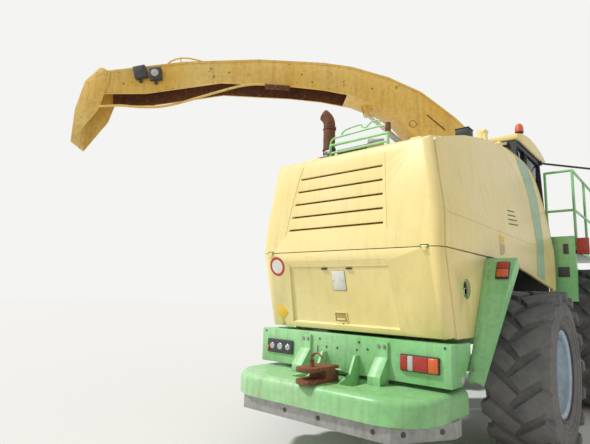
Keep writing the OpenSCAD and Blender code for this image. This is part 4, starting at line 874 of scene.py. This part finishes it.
def makeLowerDetails():
    tubes, folds, screws, shade = (bmesh.new() for _ in range(4))
    across, lean = (0, 90, 0), math.radians(plate["lean"])
    hole, y, z = lower["hole"]
    for sign in (-1, 1):
        pipe(folds, circleLine(at(sign * hole, y, z), lower["holeR"], across, 48), 0.005, True)
        # a dark disc behind each hole: painted shade inside it
        drum(shade, at(sign * 0.93, y, z), 0.11, 0.004, across, 32)
        drum(tubes, at(sign * 0.95, y + 0.01, z - 0.02), 0.028, 0.09, across, 24, 0.004)
        drum(tubes, at(sign * 0.985, y + 0.01, z - 0.02), 0.038, 0.02, across, 6, 0.003)
        # folded edges of the arch plate, outside and inside
        for top, foot, wide in lower["folds"]:
            deep = Vector((0, math.cos(lean), -math.sin(lean))) * wide
            aside = Vector((sign * 0.012, 0, 0))
            ends = zip((top, foot), lower["foldDrop"])
            a, b = (onPlate(sign * x, drop, -0.05) - deep * 0.2 for x, drop in ends)
            slab(folds, [a, b, b - aside, a - aside], deep)
        for drop in lower["screws"][1]:
            spot = onPlate(sign * lower["screws"][0], drop, 0.003)
            drum(screws, spot, 0.011, 0.006, (90 - plate["lean"], 0, 0), 6)
    finishPiece(tubes, "service_tubes", "chassis", "rod_chrome")
    finishPiece(folds, "arch_plate_folds", "chassis", "green_paint")
    finishPiece(screws, "arch_plate_screws", "chassis", "galvanised")
    finishPiece(shade, "service_hole_shade", "chassis", "engine_iron")


makeLowerDetails()
print("hood pieces ready")

# the cast counterweight, rounder than its steps in the CAD, and dark sheets of painted shade inside the arches
ballast = {
    "wide": 1.02, "rear": -2.18, "front": -1.29, "corner": 0.43, "z": (0.548, 0.742), "rim": 0.06,
    "pocketY": -1.805, "pocket": (0.66, 0.33, 0.095),  # width, length, depth
    "ribs": 5, "ribPitch": 0.45,
}


def applyModifiers(piece):
    bpy.context.view_layer.update()
    made = bpy.data.meshes.new_from_object(piece.evaluated_get(bpy.context.evaluated_depsgraph_get()))
    piece.modifiers.clear()
    piece.data = made
    return made


def cutOut(piece, cutter):  # takes the cutter's shape out of a finished piece
    mesh = bpy.data.meshes.new("cutter")
    cutter.to_mesh(mesh)
    cutter.free()
    tool = bpy.data.objects.new("cutter", mesh)
    bpy.context.scene.collection.objects.link(tool)
    cut = piece.modifiers.new("cut", "BOOLEAN")
    cut.operation, cut.object, cut.solver = "DIFFERENCE", tool, "EXACT"
    applyModifiers(piece).set_sharp_from_angle(angle=math.radians(38))
    bpy.data.objects.remove(tool)
    bpy.data.meshes.remove(mesh)


def makeBallast():
    bm, cutter = bmesh.new(), bmesh.new()
    wide, rear, front, corner = (ballast[k] for k in ("wide", "rear", "front", "corner"))
    outline = []
    for sign, start in ((-1, 180), (1, 270)):  # the rounded corners, from left to right
        x, y = sign * (wide - corner), rear + corner
        turns = [math.radians(start + 5 * i) for i in range(19)]
        outline += [(x + corner * math.cos(a), y + corner * math.sin(a)) for a in turns]
    outline += [(wide, front), (-wide, front)]
    low, high = ballast["z"]
    slab(bm, [at(x, y, low) for x, y in outline], Vector((0, 0, high - low)))
    ahead = at(0, front - 0.01, 0).y
    upper = [e for e in bm.edges if all(v.co.z > high - 0.001 for v in e.verts)]
    roundEdges(bm, [e for e in upper if min(v.co.y for v in e.verts) < ahead], ballast["rim"], 6)
    piece = finishPiece(bm, "counterweight_casting", "chassis", "green_paint")
    x, y, deep = ballast["pocket"]
    block(cutter, at(0, ballast["pocketY"], high), (x, y, 2 * deep), edge=0.02)
    cutOut(piece, cutter)
    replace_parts(piece, "counterweight")


def makeArchShadeSheets():
    # dark ribbed sheets along the arches and across behind the cab: painted shade where the inside of the hood
    # shows
    shadeSheets = bmesh.new()
    for sign in (-1, 1):
        block(shadeSheets, at(sign * 0.5, -0.1, 1.5), (0.006, 2.2, 0.7))
        block(shadeSheets, at(sign * 0.7, 2.03, 1.785), (0.51, 0.006, 0.67))
        for i in range(ballast["ribs"]):
            block(shadeSheets, at(sign * 0.506, -1.0 + i * ballast["ribPitch"], 1.5), (0.018, 0.03, 0.7))
    finishPiece(shadeSheets, "arch_shade_sheets", "chassis", "engine_iron")


makeBallast()
makeArchShadeSheets()

# cab: rubber seals, roof gasket, wiper, handles, work lamps, beacons and mirror glass
cab = {
    "wide": 0.78, "seal": 0.011, "doorPane": ((1.94, 2.33), (1.94, 3.55), (2.36, 3.55), (2.36, 2.33)),
    "sidePane": ((1.445, 2.77), (1.40, 3.62), (1.76, 3.62), (1.76, 2.77)),
    "frontPane": ((2.59, 3.62), (2.76, 2.85), (2.72, 2.45)), "paneRear": {-1: 2.50, 1: 1.84},
    "rearPane": ((-0.65, 3.05), (0.65, 3.05), (0.65, 3.62), (-0.65, 3.62)),
    "screen": ((-0.72, 2.31), (-0.72, 2.85), (-0.72, 3.64), (0.72, 3.64), (0.72, 2.85), (0.72, 2.31)),
    "roof": ((-0.785, 1.38), (0.785, 1.38), (0.785, 2.7), (-0.785, 2.7)), "roofZ": 3.698,
    "handle": ((-0.79, 2.4, 2.8), (-0.825, 2.4, 2.82), (-0.825, 2.4, 2.9), (-0.79, 2.4, 2.92)),
    "grab": ((-0.77, 2.56, 2.42), (-0.84, 2.57, 2.44), (-0.845, 2.57, 2.8), (-0.84, 2.56, 3.18),
             (-0.77, 2.55, 3.2)),
    "pivot": (0.05, 2.24), "blade": (-0.28, 2.8), "bladeZ": (2.46, 2.65, 2.85, 3.0, 3.16),
    # work lamps ahead and behind: X of each, Y, Z, depth of case and of glass, how far out the glass is, lean
    "lamps": (((-0.62, -0.38, 0.38, 0.62), 2.72, 3.665, 0.06, 0.014, 0.035, -12),
              ((-0.62, 0.62), 1.345, 3.66, 0.05, 0.012, -0.025, 12)),
    "beacon": (0.718, 1.81, 3.885), "mirror": (1.48, 3.4, 3.36),
    # beacon profiles: radius, height
    "foot": ((0, -0.03), (0.026, -0.03), (0.03, 0.03), (0.046, 0.045), (0.06, 0.058), (0.06, 0.068),
             (0, 0.068)),
    "dome": ((0, 0.066), (0.056, 0.066), (0.061, 0.085), (0.061, 0.11), (0.057, 0.112), (0.057, 0.118),
             (0.058, 0.13), (0.054, 0.155), (0.045, 0.178), (0.03, 0.194), (0.012, 0.202), (0, 0.203)),
}


def rounded(points, radius=0.07, steps=4):  # the points of an outline with its corners rounded
    line, count = [], len(points)
    for i in range(count):
        a, b, c = (Vector(points[(i + n) % count]) for n in (-1, 0, 1))
        p, q = b + (a - b).normalized() * radius, b + (c - b).normalized() * radius
        shares = [j / steps for j in range(steps + 1)]
        line += [p * (1 - s) ** 2 + b * 2 * s * (1 - s) + q * s * s for s in shares]
    return line


def seal(bm, points, radius=0.07, thick=cab["seal"]):  # a rubber section round an opening
    pipe(bm, rounded(points, radius), thick, True, 1)


def lathe(bm, centre, profile, sides=28):  # a profile of (radius, height), turned about Z
    verts = [bm.verts.new(centre + Vector((r, 0, z))) for r, z in profile]
    geom = verts + [bm.edges.new(pair) for pair in zip(verts, verts[1:])]
    bmesh.ops.spin(bm, geom=geom, cent=centre, axis=(0, 0, 1), angle=math.tau, steps=sides, use_merge=True)


def screenY(z):  # the cab's front wall
    return 2.79 + 0.06 * min(1, (z - 2.15) / 0.7) - 0.19 * max(0, (z - 2.85) / 0.85)


def makeSeals():
    seals, door = bmesh.new(), bmesh.new()
    for sign in (-1, 1):
        x, rear = sign * (cab["wide"] + 0.004), cab["paneRear"][sign]
        for pane in (cab["sidePane"], ((rear, 2.45), (rear, 3.62), *cab["frontPane"])):
            seal(seals, [at(x, y, z) for y, z in pane], 0.05)
    seal(seals, [at(x, 1.357 + 0.026 * (3.7 - z), z) for x, z in cab["rearPane"]])
    pipe(seals, [at(x, screenY(z) + 0.006, z) for x, z in cab["screen"]], cab["seal"], True, 1)
    seal(seals, [at(x, y, cab["roofZ"]) for x, y in cab["roof"]], 0.1, 0.012)
    seal(door, [at(-cab["wide"] - 0.006, y, z) for y, z in cab["doorPane"]], 0.05)
    block(door, at(-0.79, 2.4, 2.86), (0.02, 0.03, 0.16), edge=0.006)
    pipe(door, smoothLine([at(*p) for p in cab["handle"]]), 0.009)
    finishPiece(seals, "cab_seals", "chassis", "cab_trim")
    finishPiece(door, "door_seal_and_handle", "door", "cab_trim")


def makeWiper():  # and the grab rail beside the door
    trim = bmesh.new()
    pipe(trim, smoothLine([at(*p) for p in cab["grab"]]), 0.013)
    x0, z0 = cab["pivot"]
    x1, z1 = cab["blade"]
    arm = ((x0, z0, 0), (x0, z0 + 0.03, 0.03), (x1, z1, 0.02))  # X, Z, distance from the windscreen
    pipe(trim, [at(x, screenY(z) + out, z) for x, z, out in arm], 0.007)
    pipe(trim, [at(x1 - 0.1 * (z - z1), screenY(z) + 0.012, z) for z in cab["bladeZ"]], 0.008)
    drum(trim, at(x0, screenY(z0) + 0.015, z0), 0.022, 0.05, (90, 0, 0), 20, 0.004)
    finishPiece(trim, "wiper_and_grab_rail", "chassis", "cab_trim")


def makeWorkLamps():
    cases, lenses = bmesh.new(), bmesh.new()
    for row, y, z, deep, thick, out, lean in cab["lamps"]:
        for x in row:
            block(cases, at(x, y, z), (0.13, deep, 0.055), (lean, 0, 0), edge=0.012)
            block(lenses, at(x, y + out, z - 0.005), (0.112, thick, 0.042), (lean, 0, 0), edge=0.005)
    finishPiece(cases, "work_lamp_cases", "chassis", "cab_trim")
    finishPiece(lenses, "work_lamp_lenses", "chassis", "lamp_plastic", "clearLens")


def makeBeacons():  # and the mirrors' glass
    domes, feet, mirror = (bmesh.new() for _ in range(3))
    for sign in (-1, 1):
        x, y, z = cab["beacon"]
        lathe(feet, at(sign * x, y, z), cab["foot"])
        lathe(domes, at(sign * x, y, z), cab["dome"])
        x, y, z = cab["mirror"]
        block(mirror, at(sign * x, y, z), (0.19, 0.006, 0.42), edge=0.002)
        block(mirror, at(sign * x, y, z - 0.06), (0.19, 0.008, 0.004), edge=0.001)
    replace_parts(finishPiece(domes, "beacon_domes", "chassis", "lamp_plastic", "orangeLens"), "beacons")
    finishPiece(feet, "beacon_feet", "chassis", "cab_trim")
    finishPiece(mirror, "mirror_glass", "chassis", "rod_chrome")


# front mudguards: slots in their rear faces as dark blocks of painted shade, and the marker lamps
mudguard = {  # X, Y and Z, then width, depth and height
    "slots": ((1.15, 2.036, 1.9, 0.14, 0.012, 0.14), (1.36, 2.08, 2.18, 0.13, 0.014, 0.05)),
    "narrow": (1.189, 2.036), "narrowSize": (0.066, 0.012, 0.14), "narrowZ": {-1: 2.11, 1: 2.22},
    "mark": (1.395, 2.06, 2.255), "markSize": (0.15, 0.03, 0.23),
}


def makeMudguardDetails():
    marks, slots = bmesh.new(), bmesh.new()
    for sign in (-1, 1):
        # the slots are dark blocks: painted shade in the openings
        for x, y, z, *size in mudguard["slots"]:
            block(slots, at(sign * x, y, z), size, edge=0.003)
        x, y = mudguard["narrow"]
        block(slots, at(sign * x, y, mudguard["narrowZ"][sign]), mudguard["narrowSize"], edge=0.003)
        x, y, z = mudguard["mark"]
        block(marks, at(sign * x, y, z), mudguard["markSize"], edge=0.01)
    finishPiece(slots, "mudguard_slot_shade", "chassis", "engine_iron")
    finishPiece(marks, "side_marker_lamps", "chassis", "lamp_plastic")


makeSeals()
makeWiper()
makeWorkLamps()
makeBeacons()
makeMudguardDetails()
print("cab pieces ready")

# spout: rolled flanges, rusted liner, weld ring, slot strip, lamps, hose guard and bracket
boom = {  # pairs are s, which runs along the spout from its turret, and Z
    "top": ((1.5, 4.67), (1.9, 4.7), (2.8, 4.685), (3.8, 4.58), (4.87, 4.366)),
    "rear": ((0.0, 4.0), (0.28, 4.205), (0.5, 4.36), (0.97, 4.55), (1.5, 4.67)),
    "under": ((1.5, 4.24), (1.88, 4.29), (2.33, 4.31), (3.3, 4.3), (4.3, 4.08), (4.85, 4.04)),
    "half": 0.206, "inside": 0.1905, "pin": (0.621, 3.875), "facing": (90, 0, 45), "along": -135,
    "bolts": ((1.2, 4.36), (2.05, 4.4), (2.2, 4.5), (3.2, 4.46), (3.45, 4.5), (4.6, 4.2)),
    "guardHalf": 0.1, "guardS": (3.5, 4.1), "guard": ((3.78, 4.684), (3.92, 4.672), (4.04, 4.61)),
    "guardBars": ((3.66, 4.66), (3.9, 4.675)), "lamps": ((4.18, 4.345, 8), (4.38, 4.355, 16)),  # s, Z, lean
    "clips": (2.4, 2.53, 2.66), "turretBolts": 16, "turretR": 0.283,
}
slant = math.sqrt(0.5)


def onBoom(s, v, z):
    return at(slant * (v - s), 1.0 - slant * (s + v), z)


def boomZ(line, s):
    for (s0, z0), (s1, z1) in zip(boom[line], boom[line][1:]):
        if s <= s1:
            return z0 + (z1 - z0) * (s - s0) / (s1 - s0)
    return boom[line][-1][1]


def makeSpoutSheets():
    flanges, liner = bmesh.new(), bmesh.new()
    aside = onBoom(0, 1, 0) - onBoom(0, 0, 0)
    upper = boom["rear"] + boom["top"][1:]
    for sign in (-1, 1):
        edge, inner = sign * boom["half"], sign * boom["inside"]
        strip = [onBoom(s, edge, z - 0.004) for s, z in upper]
        strip += [onBoom(s, edge, z - 0.034) for s, z in reversed(upper)]
        slab(flanges, strip, aside * sign * 0.006)
        pipe(flanges, [onBoom(s, edge + sign * 0.001, z + 0.006) for s, z in boom["under"]], 0.007)
        sheet = [onBoom(s, inner, z - 0.014) for s, z in boom["top"]]
        sheet += [onBoom(s, inner, z + 0.004) for s, z in reversed(boom["under"])]
        slab(liner, sheet, -aside * sign * 0.0015)
    roof = [onBoom(s, -0.19, z - 0.0135) for s, z in boom["top"]]
    roof += [onBoom(s, -0.19, z - 0.015) for s, z in reversed(boom["top"])]
    slab(liner, roof, aside * 0.38)
    finishPiece(flanges, "spout_flanges", "boom", "spout_paint")
    finishPiece(liner, "spout_liner", "boom", "rust")


def makeSpoutBolts():  # and the weld ring round the pin, and the slot strip on the near wall
    trim = bmesh.new()
    s0, z0 = boom["pin"]
    for v in (-boom["half"], boom["half"]):
        pipe(trim, circleLine(onBoom(s0, v, z0), 0.05, boom["facing"], 32), 0.004, True)
        for s, z in boom["bolts"]:
            drum(trim, onBoom(s, v, z), 0.011, 0.012, boom["facing"], 6)
    block(trim, onBoom(0.291, 0.207, 3.9175), (0.328, 0.004, 0.018), (0, -38.7, boom["along"]), edge=0.001)
    finishPiece(trim, "spout_weld_and_bolts", "boom", "rust")


def makeHoseGuard():
    guard = bmesh.new()
    half, (start, end) = boom["guardHalf"], boom["guardS"]
    line = [(start, boomZ("top", start) - 0.005), (start + 0.1, boomZ("top", start + 0.1) + 0.052)]
    line += [*boom["guard"], (end, boomZ("top", end) - 0.005)]
    for v in (-half, half):
        pipe(guard, smoothLine([onBoom(s, v, z) for s, z in line]), 0.011)
    for s, z in boom["guardBars"]:
        pipe(guard, [onBoom(s, -half, z), onBoom(s, half, z)], 0.009)
    finishPiece(guard, "spout_hose_guard", "boom", "spout_paint")


def makeSpoutLamps():  # two square lamps at the end, the near one with its round lens
    cases, lens = bmesh.new(), bmesh.new()
    for s, z, lean in boom["lamps"]:
        block(cases, onBoom(s, 0.25, z), (0.165, 0.09, 0.165), (0, lean, boom["along"]), edge=0.01)
        block(cases, onBoom(s, 0.215, z - 0.07), (0.04, 0.04, 0.12), (0, 12, boom["along"]))
    s, z, lean = boom["lamps"][0]
    drum(lens, onBoom(s, 0.297, z), 0.05, 0.01, boom["facing"], 28, 0.003)
    finishPiece(cases, "spout_lamp_cases", "boom", "engine_iron")
    finishPiece(lens, "spout_lamp_lens", "boom", "lamp_plastic", "clearLens")


def makeHoseBracket():
    clips, turn = bmesh.new(), (0, 0, boom["along"])
    block(clips, onBoom(boom["clips"][1], 0.215, 4.285), (0.34, 0.02, 0.07), turn, edge=0.005)
    for s in boom["clips"]:
        block(clips, onBoom(s, 0.24, 4.275), (0.04, 0.05, 0.05), turn, edge=0.008)
        drum(clips, onBoom(s, 0.27, 4.275), 0.012, 0.014, boom["facing"], 6)
    finishPiece(clips, "spout_hose_bracket", "boom", "rust")


def makeTurretBolts():
    bolts, r = bmesh.new(), boom["turretR"]
    for i in range(boom["turretBolts"]):
        turn = math.tau * i / boom["turretBolts"]
        drum(bolts, at(r * math.cos(turn), 1.0 + r * math.sin(turn), 3.5), 0.012, 0.014, sides=6)
    finishPiece(bolts, "turret_bolts", "slewing_ring", "galvanised")


makeSpoutSheets()
makeSpoutBolts()
makeHoseGuard()
makeSpoutLamps()
makeHoseBracket()
makeTurretBolts()

# the loose hose under the spout, from its bracket to the deflector
hose = {
    "path": [
        (2.71, 0.224, 4.318), (2.85, 0.24, 4.295), (3.043, 0.25, 4.25), (3.3, 0.25, 4.16),
        (3.574, 0.25, 4.055), (3.85, 0.25, 3.95), (4.095, 0.25, 3.885), (4.35, 0.25, 3.865),
        (4.6, 0.25, 3.87), (4.885, 0.226, 3.85),
    ],
    "thick": 0.03,
}


def makeHose():
    line = smoothLine([onBoom(*p) for p in hose["path"]], 6)
    bm = bmesh.new()
    pipe(bm, line, hose["thick"] / 2, sides=3)
    piece = finishPiece(bm, "spout_hose", "boom", "spout_paint")


makeHose()
print("spout pieces ready")

# seat: cushion and back inflated as cloth, on a bellows base with an armrest
seat = {
    "cushion": ((0, 1.995, 2.635), (0.46, 0.46, 0.115), (0, 0, 0)),  # middle, size, turn
    "back": ((0, 1.727, 2.985), (0.44, 0.1, 0.6), (12, 0, 0)),
    "cushionSeams": (-0.15, -0.05, 0.05, 0.15), "backSeams": (-0.14, 0.14),
    "cap": 0.016, "voxel": 0.011, "seamDepth": 0.009, "seamWidth": 0.011, "pressure": 4,
    "folds": 6, "foldPitch": 0.05,
    # middle, size, edge
    "base": (((0, 1.99, 2.545), (0.44, 0.44, 0.05), 0.012), ((0, 1.985, 2.212), (0.44, 0.46, 0.03), 0.006)),
    "armrest": (((0.275, 1.93, 2.84), (0.06, 0.3, 0.05), 0.018),
                ((0.275, 1.8, 2.74), (0.03, 0.05, 0.2), 0.008)),
}


def makePad(name, spec, seams):
    centre, size, turn = spec
    bm = bmesh.new()
    block(bm, at(*centre), size, turn, edge=0.035)
    piece = finishPiece(bm, name, "chassis", "seat_cloth")
    remesh = piece.modifiers.new("voxels", "REMESH")
    remesh.mode, remesh.voxel_size = "VOXEL", seat["voxel"]
    even = applyModifiers(piece)
    cloth = piece.modifiers.new("cloth", "CLOTH")
    cloth.settings.use_pressure = True
    cloth.settings.uniform_pressure_force = seat["pressure"]
    cloth.settings.effector_weights.gravity = 0
    for step in range(1, 21):
        bpy.context.scene.frame_set(step)
    grown = bpy.data.meshes.new_from_object(piece.evaluated_get(bpy.context.evaluated_depsgraph_get()))
    piece.modifiers.clear()
    for v, g in zip(even.vertices, grown.vertices):
        shift = g.co - v.co
        v.co += shift * min(1, seat["cap"] / max(shift.length, 0.00001))
    bpy.data.meshes.remove(grown)
    bpy.context.scene.frame_set(1)
    # sewn channels, pressed in after the cloth
    place = Matrix.Translation(at(*centre)) @ turned(turn)
    back = place.inverted()
    axis = size.index(min(size))
    for v in even.vertices:
        local = back @ v.co
        dip = sum(math.exp(-(((local.x - s) / seat["seamWidth"]) ** 2)) for s in seams)
        local[axis] -= math.copysign(seat["seamDepth"] * min(dip, 1), local[axis])
        v.co = place @ local
    even.polygons.foreach_set("use_smooth", [True] * len(even.polygons))
    smoother = piece.modifiers.new("smoother", "SUBSURF")
    smoother.levels = smoother.render_levels = 1
    if not even.materials:
        even.materials.append(finish["seat_cloth"])
    return piece


def makeSeat():
    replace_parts(makePad("seat_cushion", seat["cushion"], seat["cushionSeams"]), "cab_seat")
    makePad("seat_back", seat["back"], seat["backSeams"])
    base = bmesh.new()
    for centre, size, edge in seat["base"] + seat["armrest"]:
        block(base, at(*centre), size, edge=edge)
    for i in range(seat["folds"]):
        wide = 0.38 - 0.02 * (i % 2)
        block(base, at(0, 1.98, 2.24 + i * seat["foldPitch"]), (wide, wide, 0.044), edge=0.015)
    finishPiece(base, "seat_base_and_armrest", "chassis", "cab_trim")


makeSeat()
print("seat ready")

# feed rollers: steel bars along each drum
rolls = {"upper": (1.165, 0), "lower": (0.80, 18), "y": 4.70, "r": 0.1275, "bars": 10}  # Z, first bar's turn


def makeFeedBars(name):
    bars = bmesh.new()
    z, start = rolls[name]
    for i in range(rolls["bars"]):
        turn = start + 360 / rolls["bars"] * i
        a = math.radians(turn)
        spot = at(0, rolls["y"] + rolls["r"] * math.cos(a), z + rolls["r"] * math.sin(a))
        block(bars, spot, (0.73, 0.01, 0.02), (turn - 90, 0, 0), edge=0.002)
    finishPiece(bars, f"feed_bars_{name}", f"roll_{name}", "galvanised")


makeFeedBars("upper")
makeFeedBars("lower")

# fuel tanks: two straps round each, and a screwed cap
tanks = {
    "x": 0.615, "half": 0.198, "z": (0.6175, 1.5025), "straps": (1.12, 1.37), "cap": (0.66, 1.245, 1.5),
    "capForm": ((0, 0.045), (0.04, 0.045), (0.052, 0.038), (0.052, 0.015), (0.04, 0.012), (0.04, 0), (0, 0)),
}


def makeTankDetails():
    straps, caps = bmesh.new(), bmesh.new()
    low, high = tanks["z"]
    for sign in (-1, 1):
        for y in tanks["straps"]:
            face = tanks["x"] + tanks["half"]
            block(straps, at(sign * face, y, 1.06), (0.005, 0.045, 0.84), edge=0.001)
            for z in (high, low):
                block(straps, at(sign * tanks["x"], y, z), (0.36, 0.045, 0.005), edge=0.001)
            drum(straps, at(sign * (face + 0.007), y, 1.3), 0.012, 0.02, (0, 90, 0), 6)
        x, y, z = tanks["cap"]
        lathe(caps, at(sign * x, y, z), tanks["capForm"], 24)
    finishPiece(straps, "tank_straps", "chassis", "galvanised")
    finishPiece(caps, "tank_caps", "chassis", "cab_trim")


makeTankDetails()

# the small box on the deck, with its lid
deckBox = {"at": (0.56, 0.02, 3.425), "size": (0.16, 0.16, 0.1), "lid": (0.17, 0.17, 0.012)}


def makeDeckBox():
    box = bmesh.new()
    x, y, z = deckBox["at"]
    block(box, at(x, y, z), deckBox["size"], edge=0.012)
    block(box, at(x, y, z + 0.053), deckBox["lid"], edge=0.004)
    finishPiece(box, "deck_box", "chassis", "cab_trim")


makeDeckBox()
print("front pieces ready")
